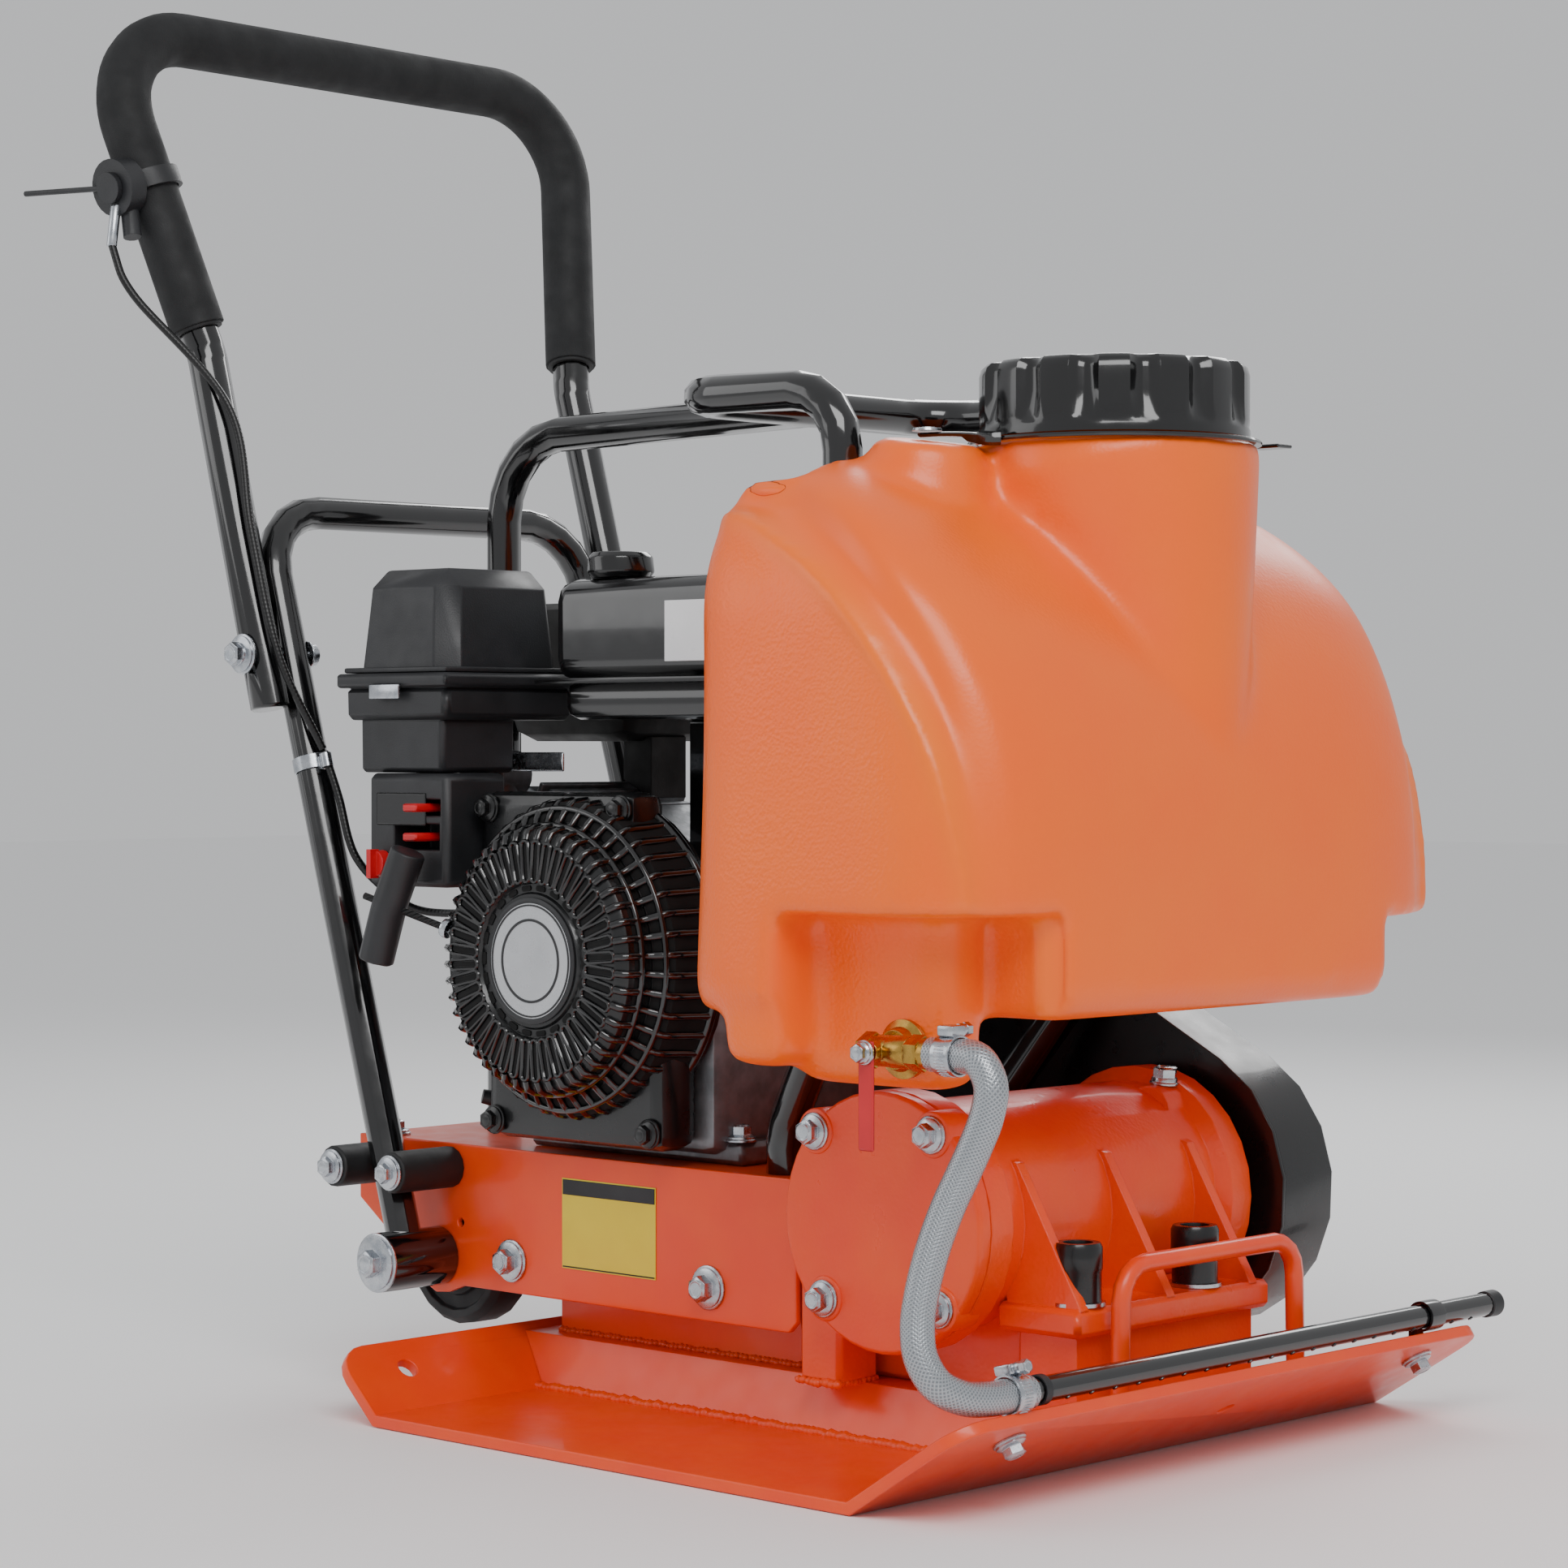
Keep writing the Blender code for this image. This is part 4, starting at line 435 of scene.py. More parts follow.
def turned(bm: Shape, profile: Iterable[tuple[float, float]], place: Point, axis: Point, sides: int = 48,
           closed: bool = False) -> None:
    """Add a shape turned about an axis.

    Args:
        bm: the shape to add to.
        profile: radius and distance along the axis, point by point.
        place: the point of the axis that distances start from.
        axis: the direction of the axis.
        sides: the steps round.
        closed: joins the profile's last point to its first.
    """
    line, out = unit(axis), aside(axis)
    verts = [bm.verts.new(Vector(place) + line * along + out * radius) for radius, along in profile]
    edges = [bm.edges.new(pair) for pair in zip(verts, verts[1:])]
    if closed:
        edges.append(bm.edges.new((verts[-1], verts[0])))
    made = bmesh.ops.spin(bm, geom=verts + edges, cent=Vector(place), axis=line, dvec=(0, 0, 0),
                          angle=math.tau, steps=sides, use_merge=True, use_duplicate=False)
    bmesh.ops.remove_doubles(bm, verts=list({v for v in verts if v.is_valid}
                             | {v for v in made["geom_last"] if isinstance(v, bmesh.types.BMVert) and v.is_valid}),
                             dist=WELD_GAP)
    poles = [vert for vert in bm.verts if (vert.co - Vector(place)).cross(line).length < WELD_GAP]
    bmesh.ops.remove_doubles(bm, verts=poles, dist=WELD_GAP)


def hexagon(bm: Shape, place: Point, axis: Point, across: float, height: float) -> None:
    """Add a hexagon head with its corners chamfered and a shallow dish on top."""
    line = unit(axis)
    base = Vector(place)
    radius = across / math.sqrt(3)
    rod(bm, base, base + line * height * 0.86, radius, sides=6)
    rod(bm, base + line * height * 0.86, base + line * height, radius, across * 0.44, sides=6)
    turned(bm, [(0.0, height * 0.93), (across * 0.30, height * 0.93), (across * 0.34, height * 1.03),
                (across * 0.40, height * 1.03), (across * 0.42, height * 0.95)], base, line, 24)


def tube(bm: Shape, path: Sequence[Point], radius: float, rings: int = 4) -> None:
    """Add a round tube along the path, with closed ends.

    Args:
        bm: the shape to add to.
        path: the centre line.
        radius: the tube's radius.
        rings: the bevel resolution of the curve it is made with.
    """
    curve = bpy.data.curves.new("path", "CURVE")
    curve.dimensions = "3D"
    curve.bevel_depth = radius
    curve.bevel_resolution = rings
    curve.use_fill_caps = True
    spline = curve.splines.new("POLY")
    spline.points.add(len(path) - 1)
    for point, place in zip(spline.points, path):
        point.co = (*place, 1.0)
    holder = bpy.data.objects.new("path", curve)
    mesh = bpy.data.meshes.new_from_object(holder)
    bm.from_mesh(mesh)
    bpy.data.objects.remove(holder)
    bpy.data.curves.remove(curve)
    bpy.data.meshes.remove(mesh)


def smooth_path(points: Sequence[Point], count: int) -> list[Vector]:
    """Return evenly spaced points along one smooth curve through the given ones."""
    given = [Vector(point) for point in points]
    ends = [2 * given[0] - given[1], *given, 2 * given[-1] - given[-2]]
    fine: list[Vector] = []
    for a, b, c, d in zip(ends, ends[1:], ends[2:], ends[3:]):
        for step in range(20):
            t = step / 20
            fine.append(0.5 * (2 * b + (c - a) * t + (2 * a - 5 * b + 4 * c - d) * t * t
                               + (3 * b - a - 3 * c + d) * t ** 3))
    fine.append(given[-1])
    along = [0.0]
    for a, b in zip(fine, fine[1:]):
        along.append(along[-1] + (b - a).length)
    even, index = [], 0
    for number in range(count):
        target = along[-1] * number / (count - 1)
        while index < len(along) - 2 and along[index + 1] < target:
            index += 1
        share = (target - along[index]) / (along[index + 1] - along[index])
        even.append(fine[index].lerp(fine[index + 1], share))
    return even


def bent(points: Sequence[Point], radius: float, steps: int) -> list[Vector]:
    """Return the points with an arc of this radius in place of each inner corner."""
    corners = [Vector(point) for point in points]
    path = [corners[0]]
    for before, corner, after in zip(corners, corners[1:], corners[2:]):
        into, out = (before - corner).normalized(), (after - corner).normalized()
        half = into.angle(out) / 2
        reach = radius / math.tan(half)
        centre = corner + (into + out).normalized() * reach / math.cos(half)
        first, last = corner + into * reach - centre, corner + out * reach - centre
        for step in range(steps + 1):
            arm = first.slerp(last, step / steps)
            path.append(centre + arm.normalized() * first.length)
    path.append(corners[-1])
    return path


def mesh_object(name: str, bm: Shape, smooth: float = SMOOTH_BELOW) -> bpy.types.Object:
    """Close the shape, point its faces outwards and make it an object."""
    bmesh.ops.remove_doubles(bm, verts=bm.verts, dist=WELD_GAP)
    if not bm.faces:
        raise ValueError(f"{name} has no faces")
    bmesh.ops.recalc_face_normals(bm, faces=bm.faces)
    for face in bm.faces:
        face.smooth = True
    for edge in bm.edges:
        edge.smooth = edge.is_manifold and edge.calc_face_angle(0.0) < smooth
    mesh = bpy.data.meshes.new(name)
    bm.to_mesh(mesh)
    bm.free()
    obj = bpy.data.objects.new(name, mesh)
    bpy.context.scene.collection.objects.link(obj)
    return obj


def dress(obj: bpy.types.Object, finish: Finish) -> None:
    """Give the object one finish."""
    obj.data.materials.clear()
    obj.data.materials.append(finish.material())


def place_piece(name: str, bm: Shape, finish: Finish, body: Body, replaces: Sequence[str] = (),
                smooth: float = SMOOTH_BELOW) -> bpy.types.Object:
    """Make the shape a finished piece that rides on a body.

    Args:
        name: the piece's name.
        bm: its shape, which this call uses up.
        finish: its finish.
        body: the body it moves with.
        replaces: the solids it stands for.
        smooth: the angle below which an edge is shaded round.

    Returns:
        The piece.
    """
    obj = mesh_object(name, bm, smooth)
    dress(obj, finish)
    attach(obj, body.value)
    if replaces:
        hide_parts(*replaces)
    log.info("%s: %d faces on %s", name, len(obj.data.polygons), body.value)
    return obj


def carve(bm: Shape, cutter: Shape, operation: str = "DIFFERENCE") -> Shape:
    """Cut one shape from another, or join them, and use both up."""
    objects = []
    for number, shape in enumerate((bm, cutter)):
        bmesh.ops.recalc_face_normals(shape, faces=shape.faces)
        mesh = bpy.data.meshes.new(f"carve_{number}")
        shape.to_mesh(mesh)
        shape.free()
        objects.append(bpy.data.objects.new(f"carve_{number}", mesh))
        bpy.context.scene.collection.objects.link(objects[-1])
    modifier = objects[0].modifiers.new("cut", "BOOLEAN")
    modifier.operation = operation
    modifier.object = objects[1]
    modifier.solver = "EXACT"
    graph = bpy.context.evaluated_depsgraph_get()
    graph.update()
    mesh = bpy.data.meshes.new_from_object(objects[0].evaluated_get(graph))
    result = bmesh.new()
    result.from_mesh(mesh)
    for obj in objects:
        bpy.data.objects.remove(obj)
    bpy.data.meshes.remove(mesh)
    return result


def mark_lay(obj: bpy.types.Object, path: Sequence[Vector]) -> None:
    """Store for each point of a tube its distance along the path and its angle round it.

    Args:
        obj: the tube.
        path: the line that the tube follows.
    """
    along = [0.0]
    for a, b in zip(path, path[1:]):
        along.append(along[-1] + (b - a).length)
    tangents = [(path[min(i + 1, len(path) - 1)] - path[max(i - 1, 0)]).normalized() for i in range(len(path))]
    side = aside(tangents[0])
    sides = []
    for tangent in tangents:
        side = (side - tangent * side.dot(tangent)).normalized()
        sides.append(side.copy())
    values = []
    for vert in obj.data.vertices:
        index = min(range(len(path)), key=lambda i: (path[i] - vert.co).length_squared)
        offset = vert.co - path[index]
        step = offset.dot(tangents[index])
        across = sides[index]
        other = tangents[index].cross(across)
        angle = math.atan2(offset.dot(other), offset.dot(across))
        values.extend((along[index] + step, math.cos(angle), math.sin(angle)))
    attribute = obj.data.attributes.new("lay", "FLOAT_VECTOR", "POINT")
    attribute.data.foreach_set("vector", values)


def finish_solid(node: str, finish: Finish, edge: float = 0.0008) -> None:
    """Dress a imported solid: weld its loose triangles, round its edges and give it a finish.

    Args:
        node: the solid's name.
        finish: its finish.
        edge: the radius of its edges in metres, or 0 to leave them sharp.
    """
    obj = frame["nodes"][node]
    obj.data.polygons.foreach_set("use_smooth", [True] * len(obj.data.polygons))
    weld = obj.modifiers.new("weld", "WELD")
    weld.merge_threshold = 2e-5
    if edge > 0:
        bevel = obj.modifiers.new("edges", "BEVEL")
        bevel.width = edge
        bevel.segments = 2
        bevel.limit_method = "ANGLE"
        bevel.angle_limit = math.radians(38)
    normals = obj.modifiers.new("normals", "WEIGHTED_NORMAL")
    normals.keep_sharp = False
    dress(obj, finish)
    log.info("%s: solid dressed in %s", node, finish.name)


@dataclass
class Bolt:
    """A flanged hexagon bolt."""

    place: tuple[float, float, float]
    axis: tuple[float, float, float]
    across: float = 0.010
    flange: float = 0.0095
    height: float = 0.0062

    def build(self, bm: Shape) -> None:
        """Add the washer, the flange and the head to the shape."""
        thick = 0.0016
        turned(bm, [(0.0, 0.0), (self.flange * 1.12, 0.0), (self.flange * 1.12, thick * 0.7),
                    (self.flange * 1.05, thick), (self.flange, thick), (self.flange, thick + 0.0012),
                    (self.across * 0.58, thick + 0.0024), (0.0, thick + 0.0024)],
               self.place, self.axis, 28)
        base = Vector(self.place) + unit(self.axis) * (thick + 0.0016)
        hexagon(bm, base, self.axis, self.across, self.height)


@dataclass
class WeldBead:
    """A line of overlapping ripples along a joint."""

    start: tuple[float, float, float]
    end: tuple[float, float, float]
    size: float = 0.0042
    pitch: float = 0.0036

    def build(self, bm: Shape, draw: random.Random) -> None:
        """Add the ripples to the shape."""
        start, end = Vector(self.start), Vector(self.end)
        count = max(2, int((end - start).length / self.pitch))
        for number in range(count + 1):
            place = start.lerp(end, number / count)
            jitter = Vector([draw.uniform(-0.0004, 0.0004) for _ in range(3)])
            size = self.size * draw.uniform(0.85, 1.15)
            matrix = Matrix.Translation(place + jitter) @ Matrix.Diagonal((size, size, size * 0.8, 1.0))
            bmesh.ops.create_icosphere(bm, subdivisions=1, radius=1.0, matrix=matrix)


@dataclass
class BasePlate:
    """The sole plate, the folded riser welded on it, and the lifting loop."""

    riser_half: float = 0.1055
    riser_ends: tuple[float, float] = (-0.232, 0.1505)
    top: float = 0.0078
    lip_bolts: tuple[float, float] = (-0.184, 0.190)
    lip_normal: tuple[float, float, float] = (0.5413, 0.0, -0.8408)

    def build(self) -> None:
        """Dress the steel and add the weld beads and the bolts under the lip."""
        finish_solid("base_plate", ORANGE_POWDER, 0.0011)
        finish_solid("riser_frame", ORANGE_POWDER, 0.0009)
        finish_solid("lifting_loop", ORANGE_POWDER, 0.0)
        self.build_welds()
        self.build_lip_bolts()

    def build_welds(self) -> None:
        """Lay the beads along the riser's feet, up the rear lip and round the exciter's feet."""
        draw = random.Random(7)
        bm = bmesh.new()
        rear, front = self.riser_ends
        for side in (-1, 1):
            y = side * self.riser_half
            WeldBead((rear, y, self.top), (front, y, self.top)).build(bm, draw)
            WeldBead((rear, y * 0.98, self.top), (-0.2470, y * 0.90, 0.0240)).build(bm, draw)
            WeldBead((-0.2200, side * 0.0765, 0.0385), (-0.0170, side * 0.0765, 0.0385), 0.0028).build(bm, draw)
            for low in (0.0160, 0.0450):
                WeldBead((low, side * 0.1120, 0.0385), (low, side * 0.0790, 0.0385), 0.0030).build(bm, draw)
            WeldBead((0.0160, side * 0.1125, 0.0385), (0.0460, side * 0.1125, 0.0385), 0.0034).build(bm, draw)
        WeldBead((front, -self.riser_half, self.top), (front, -0.0790, self.top)).build(bm, draw)
        WeldBead((front, 0.0870, self.top), (front, self.riser_half, self.top)).build(bm, draw)
        place_piece("riser_weld_beads", bm, ORANGE_CASTING, Body.MACHINE, smooth=math.radians(80))

    def build_lip_bolts(self) -> None:
        """Add the bolts that hold the sprinkler pipe's clips, and the clips."""
        bm = bmesh.new()
        clips = bmesh.new()
        normal = Vector(self.lip_normal)
        for y in self.lip_bolts:
            under = Vector((0.2330, y, 0.0400))
            Bolt(tuple(under + normal * 0.0002), self.lip_normal, 0.0110, 0.0085, 0.0060).build(bm)
            if y > 0:
                turned(clips, [(0.0074, -0.007), (0.0090, -0.007), (0.0092, 0.0), (0.0090, 0.007), (0.0074, 0.007)],
                       (0.2410, y, 0.0655), (0, 1, 0), 32, closed=True)
                box(clips, (0.2310, y - 0.006, 0.0500), (0.2350, y + 0.006, 0.0640), 0.0010, 1)
        place_piece("lip_bolts", bm, ZINC, Body.MACHINE)
        place_piece("sprinkler_pipe_clip", clips, GLOSS_BLACK, Body.MACHINE)


@dataclass
class EngineDeck:
    """The deck channel on its rubber mounts, with the axle, the bumpers and the transport wheels."""

    half: float = 0.1120
    mounts: tuple[float, float] = (-0.2275, -0.0570)
    mount_z: float = 0.0840
    axle: tuple[float, float] = (-0.2945, 0.0815)
    stops: tuple[float, float, float] = (-0.2841, -0.3391, 0.1380)

    def build(self) -> None:
        """Dress the deck and its rubber, and add its fasteners and plate."""
        finish_solid("engine_deck", ORANGE_POWDER, 0.0010)
        for node in ("isolator_front_left", "isolator_front_right", "isolator_rear_left", "isolator_rear_right",
                     "bumper_front_left", "bumper_front_right", "bumper_rear_left", "bumper_rear_right"):
            finish_solid(node, RUBBER, 0.0006)
        finish_solid("pivot_axle", ZINC, 0.0006)
        for side in ("left", "right"):
            finish_solid(f"transport_wheel_{side}", RUBBER, 0.0008)
        bm = bmesh.new()
        for side in (-1, 1):
            for x in self.mounts:
                Bolt((x, side * (self.half + 0.0002), self.mount_z), (0, side, 0), 0.0135, 0.0118, 0.0080).build(bm)
            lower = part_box("bumper_front_right")[0].y
            for x in self.stops[:2]:
                Bolt((x, side * (abs(lower) - 0.0068), self.stops[2]), (0, side, 0), 0.0110, 0.0098, 0.0052).build(bm)
            Bolt((self.axle[0], side * 0.1633, self.axle[1]), (0, side, 0), 0.0150, 0.0165, 0.0078).build(bm)
        for x in (-0.2290, -0.0600):
            for y in (-0.0820, 0.0600):
                Bolt((x, y, 0.1676), (0, 0, 1), 0.0110, 0.0090, 0.0065).build(bm)
        place_piece("deck_bolts", bm, ZINC, Body.MACHINE)
        plate = bmesh.new()
        box(plate, (-0.1820, -self.half - 0.0005, 0.0840), (-0.1010, -self.half - 0.0001, 0.1390), 0.0001, 1)
        place_piece("deck_blank_plate", plate, YELLOW_PLATE, Body.MACHINE)
        rim = bmesh.new()
        for low, high in (((-0.1812, 0.1290), (-0.1018, 0.1382)), ((-0.1812, 0.0848), (-0.1018, 0.0856))):
            box(rim, (low[0], -self.half - 0.0008, low[1]), (high[0], -self.half - 0.0005, high[1]), 0.0001, 1)
        place_piece("deck_plate_border", rim, GREY_PLASTIC, Body.MACHINE)


@dataclass
class Exciter:
    """The cast exciter with its cover, bolts, plugs and capped fixing bolts."""

    cover_bolts: tuple[tuple[float, float], ...] = ((0.0435, 0.1840), (0.1310, 0.1880), (0.0505, 0.0900),
                                                    (0.1365, 0.0925))
    caps: tuple[tuple[float, float], ...] = ((0.1835, -0.0660), (0.1835, 0.0400))

    def build(self) -> None:
        """Dress the casting and add what is bolted to it."""
        finish_solid("exciter_housing", ORANGE_CASTING, 0.0014)
        finish_solid("exciter_cover", ORANGE_CASTING, 0.0016)
        for node in ("eccentric_shaft", "exciter_bearing_left", "exciter_bearing_right"):
            finish_solid(node, STEEL, 0.0)
        finish_solid("exciter_pulley", ALUMINIUM, 0.0)
        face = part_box("exciter_cover")[0].y
        bolts, lugs = bmesh.new(), bmesh.new()
        for x, z in self.cover_bolts:
            rod(lugs, (x, face + 0.020, z), (x, face - 0.0012, z), 0.0132, sides=32, edge=0.0016)
            Bolt((x, face - 0.0012, z), (0, -1, 0), 0.0120, 0.0096, 0.0070).build(bolts)
        place_piece("exciter_bolt_lugs", lugs, ORANGE_CASTING, Body.MACHINE)
        for x, y in self.caps:
            turned(bolts, [(0.0, 0.0), (0.0155, 0.0), (0.0155, 0.0022), (0.0, 0.0022)], (x, y, 0.0932), (0, 0, 1), 36)
        Bolt((0.1180, 0.0960, 0.2010), (0.1, 0, 1), 0.0130, 0.0080, 0.0070).build(bolts)
        place_piece("exciter_bolts", bolts, ZINC, Body.MACHINE)
        self.build_caps()

    def build_caps(self) -> None:
        """Add the black capped bolts on the front flange."""
        bm = bmesh.new()
        for x, y in self.caps:
            turned(bm, [(0.0, 0.0), (0.0132, 0.0), (0.0132, 0.0165), (0.0138, 0.0180), (0.0138, 0.0300),
                        (0.0126, 0.0325), (0.0085, 0.0325), (0.0080, 0.0280), (0.0, 0.0280)],
                   (x, y, 0.0954), (0, 0, 1), 36)
        place_piece("exciter_bolt_caps", bm, SATIN_BLACK, Body.MACHINE)


@dataclass
class WaterTank:
    """The blow-moulded tank with its neck, its cap and the strap that keeps the cap."""

    rear: float = 0.010
    front: float = 0.245
    half: float = 0.232
    bottom: float = 0.256
    top: float = 0.568
    shoulder: float = 0.110
    nose: float = 0.215
    neck_x: float = 0.156
    neck_radius: float = 0.080
    neck_top: float = 0.574
    cap_radius: float = 0.077
    cap_height: float = 0.044
    flutes: int = 14
    voxel: float = 0.0034
    first_smoothing: int = 7
    last_smoothing: int = 2
    valley_width: float = 0.034
    valley_depth: float = 0.0085
    pad_edge: tuple[tuple[float, float], ...] = ((0.000, 0.531), (0.050, 0.529), (0.086, 0.516), (0.131, 0.492),
                                                 (0.168, 0.458), (0.194, 0.4225), (0.211, 0.390), (0.222, 0.347),
                                                 (0.226, 0.318), (0.228, 0.230))

    def build(self) -> None:
        """Build the tank, the cap and the strap."""
        self.build_body()
        self.build_cap()
        self.build_strap()

    def surface(self, u: float, v: float, w: float) -> Vector:
        """Return the point of the plain body for a point of the cube from -1 to 1 each way."""
        largest = max(abs(u), abs(v))
        if largest > 1e-9:
            power = 5.0
            spread = ((abs(u) / largest) ** power + (abs(v) / largest) ** power) ** (-1 / power)
            u, v = u * spread, v * spread
        z = self.bottom + (self.top - self.bottom) * math.sin((w + 1) * math.pi / 4)
        shoulder = max(0.0, (z - 0.470) / (self.top - 0.470))
        nose = max(0.0, (z - 0.345) / (self.top - 0.345))
        taper = 0.05 * (z - self.bottom)
        half = self.half - taper - self.shoulder * (1 - math.sqrt(max(0.0, 1 - shoulder ** 2)))
        front = self.front - self.nose * (1 - math.sqrt(max(0.0, 1 - nose ** 2)))
        foot = 0.008 * max(0.0, 1 - (z - self.bottom) / 0.012)
        half, front = half - foot, front - foot
        return Vector((self.rear + (front - self.rear) * (u + 1) / 2, half * v, z))

    def solid(self) -> Shape:
        """Join and cut the tank's plain forms."""
        bm = bmesh.new()
        bmesh.ops.create_cube(bm, size=2.0)
        bmesh.ops.subdivide_edges(bm, edges=bm.edges[:], cuts=39, use_grid_fill=True)
        for vert in bm.verts:
            vert.co = self.surface(*vert.co)
        cuts = bmesh.new()
        box(cuts, (0.104, -0.300, 0.200), (0.300, -0.150, 0.312))
        bm = carve(bm, cuts)
        cuts = bmesh.new()
        box(cuts, (-0.050, 0.126, 0.200), (0.110, 0.300, 0.302))
        bm = carve(bm, cuts)
        cuts = bmesh.new()
        box(cuts, (0.090, 0.150, 0.200), (0.300, 0.300, 0.302))
        bm = carve(bm, cuts)
        rod(bm, (0.2060, 0.0, 0.3450), (self.neck_x, 0.0, 0.555), 0.034, 0.084, sides=64)
        rod(bm, (self.neck_x, 0.0, 0.530), (self.neck_x, 0.0, self.neck_top + 0.0005), self.neck_radius, sides=64)
        rod(bm, (0.098, -0.105, 0.490), (0.110, -0.107, 0.5715), 0.056, 0.030, sides=40)
        rod(bm, (0.100, 0.105, 0.480), (0.112, 0.100, 0.556), 0.052, 0.028, sides=40)
        box(bm, (0.080, -0.192, 0.218), (0.192, -0.150, 0.330), 0.014, 3)
        box(bm, (0.060, -0.226, 0.228), (0.1060, -0.150, 0.300), 0.012, 3)
        cuts = bmesh.new()
        box(cuts, (-0.050, -0.165, 0.200), (0.068, 0.165, 0.700), 0.006, 2)
        return self.fused(bm, cuts)

    def fused(self, bm: Shape, cuts: Shape) -> Shape:
        """Fuse overlapping forms into one skin of even faces, cut it once more and even it again."""
        return self.remeshed("tank_skin", carve(self.remeshed("tank_form", bm), cuts))

    def remeshed(self, name: str, bm: Shape) -> Shape:
        """Return the shape's outer skin in even faces, and use the shape up."""
        mesh = bpy.data.meshes.new(name)
        bm.to_mesh(mesh)
        bm.free()
        holder = bpy.data.objects.new(name, mesh)
        bpy.context.scene.collection.objects.link(holder)
        remesh = holder.modifiers.new("skin", "REMESH")
        remesh.mode = "VOXEL"
        remesh.voxel_size = self.voxel
        bpy.context.view_layer.update()
        graph = bpy.context.evaluated_depsgraph_get()
        skin = bpy.data.meshes.new_from_object(holder.evaluated_get(graph))
        bpy.data.objects.remove(holder)
        result = bmesh.new()
        result.from_mesh(skin)
        bpy.data.meshes.remove(skin)
        return result

    def from_pad(self, edge: Sequence[tuple[float, float]], x: float, z: float) -> float:
        """Return the signed distance to the pad's edge: below zero on the pad."""
        nearest, sign = 1e9, 1.0
        for (ax, az), (bx, bz) in zip(edge, edge[1:]):
            tx, tz = bx - ax, bz - az
            share = max(0.0, min(1.0, ((x - ax) * tx + (z - az) * tz) / (tx * tx + tz * tz)))
            dx, dz = x - ax - tx * share, z - az - tz * share
            distance = math.hypot(dx, dz)
            if distance < nearest:
                nearest, sign = distance, (1.0 if tx * dz - tz * dx > 0 else -1.0)
        return nearest * sign

    def build_body(self) -> None:
        """Build the skin, press the pads' edges and valleys into it, and mark the grain and the painted highlight
        along the pads' edges.
        """
        bm = self.solid()
        for _ in range(self.first_smoothing):
            bmesh.ops.smooth_vert(bm, verts=bm.verts, factor=0.5, use_axis_x=True, use_axis_y=True, use_axis_z=True)
        bm.normal_update()
        edge = [(point.x, point.z) for point in smooth_path([(x, 0.0, z) for x, z in self.pad_edge], 60)]
        marks: list[tuple[float, float]] = []
        moves: list[Vector] = []
        for vert in bm.verts:
            flank = max(0.0, min(1.0, (abs(vert.normal.y) - 0.30) / 0.35))
            outside = flank * max(0.0, min(1.0, (abs(vert.co.y) - 0.130) / 0.030, (vert.co.x - 0.014) / 0.030))
            distance = self.from_pad(edge, vert.co.x, vert.co.z)
            depth = 0.0
            if 0.0 < distance < self.valley_width:
                depth = self.valley_depth * math.sin(math.pi * (distance / self.valley_width) ** 0.8) ** 2
            if -0.012 < distance <= 0.0:
                depth = -0.0034 * math.sin(math.pi * (distance + 0.012) / 0.024) ** 2
            moves.append(-vert.normal * depth * outside)
            grain = outside * max(0.0, min(1.0, (-distance - 0.004) / 0.010))
            body = 0.30 * (1 - outside) if vert.co.x > 0.10 and abs(vert.co.y) < 0.20 else 0.10
            # The second mark is a painted highlight, strongest on each pad's edge line.
            marks.append((max(grain, body), max(0.0, min(1.0, 1 - abs(distance) / 0.012)) * outside))
        for vert, move in zip(bm.verts, moves):
            vert.co += move
        for _ in range(self.last_smoothing):
            bmesh.ops.smooth_vert(bm, verts=bm.verts, factor=0.5, use_axis_x=True, use_axis_y=True, use_axis_z=True)
        tank = place_piece("water_tank_shell", bm, TANK_ORANGE, Body.MACHINE, ["water_tank"], math.radians(60))
        # The second attribute, scaled to 0.35, carries the painted highlight along the pads' edges.
        for name, index in (("pad", 0), ("pad_edge_highlight", 1)):
            attribute = tank.data.attributes.new(name, "FLOAT", "POINT")
            attribute.data.foreach_set("value", [mark[index] * (1.0 if index == 0 else 0.35) for mark in marks])

    def build_cap(self) -> None:
        """Build the fluted screw cap over the neck."""
        base = self.neck_top + 0.0006
        radius, height = self.cap_radius, self.cap_height
        bm = bmesh.new()
        profile = [(0.0, height - 0.0075), (0.048, height - 0.0060), (0.060, height - 0.0030),
                   (radius - 0.0075, height - 0.0004), (radius - 0.0040, height - 0.0010),
                   (radius - 0.0012, height - 0.0036), (radius, height - 0.0080), (radius, 0.0240), (radius, 0.0105),
                   (radius - 0.0006, 0.0070), (radius + 0.0002, 0.0050), (radius + 0.0002, 0.0008),
                   (radius - 0.002, 0.0), (0.0, 0.0)]
        turned(bm, profile, (self.neck_x, 0.0, base), (0, 0, 1), self.flutes * 12)
        for vert in bm.verts:
            out = Vector((vert.co.x - self.neck_x, vert.co.y))
            up = vert.co.z - base
            if out.length < radius - 0.009 or not 0.008 < up:
                continue
            phase = (math.atan2(out.y, out.x) * self.flutes / math.tau) % 1.0
            groove = max(0.0, math.cos((phase - 0.5) * math.tau)) ** 0.7 if abs(phase - 0.5) < 0.25 else 0.0
            rise = min(1.0, (up - 0.008) / 0.006)
            out = out * (1 - 0.0058 * groove * rise / out.length)
            vert.co.x, vert.co.y = self.neck_x + out.x, out.y
        place_piece("tank_screw_cap", bm, CAP_PLASTIC, Body.TANK_LID, ["tank_cap"])

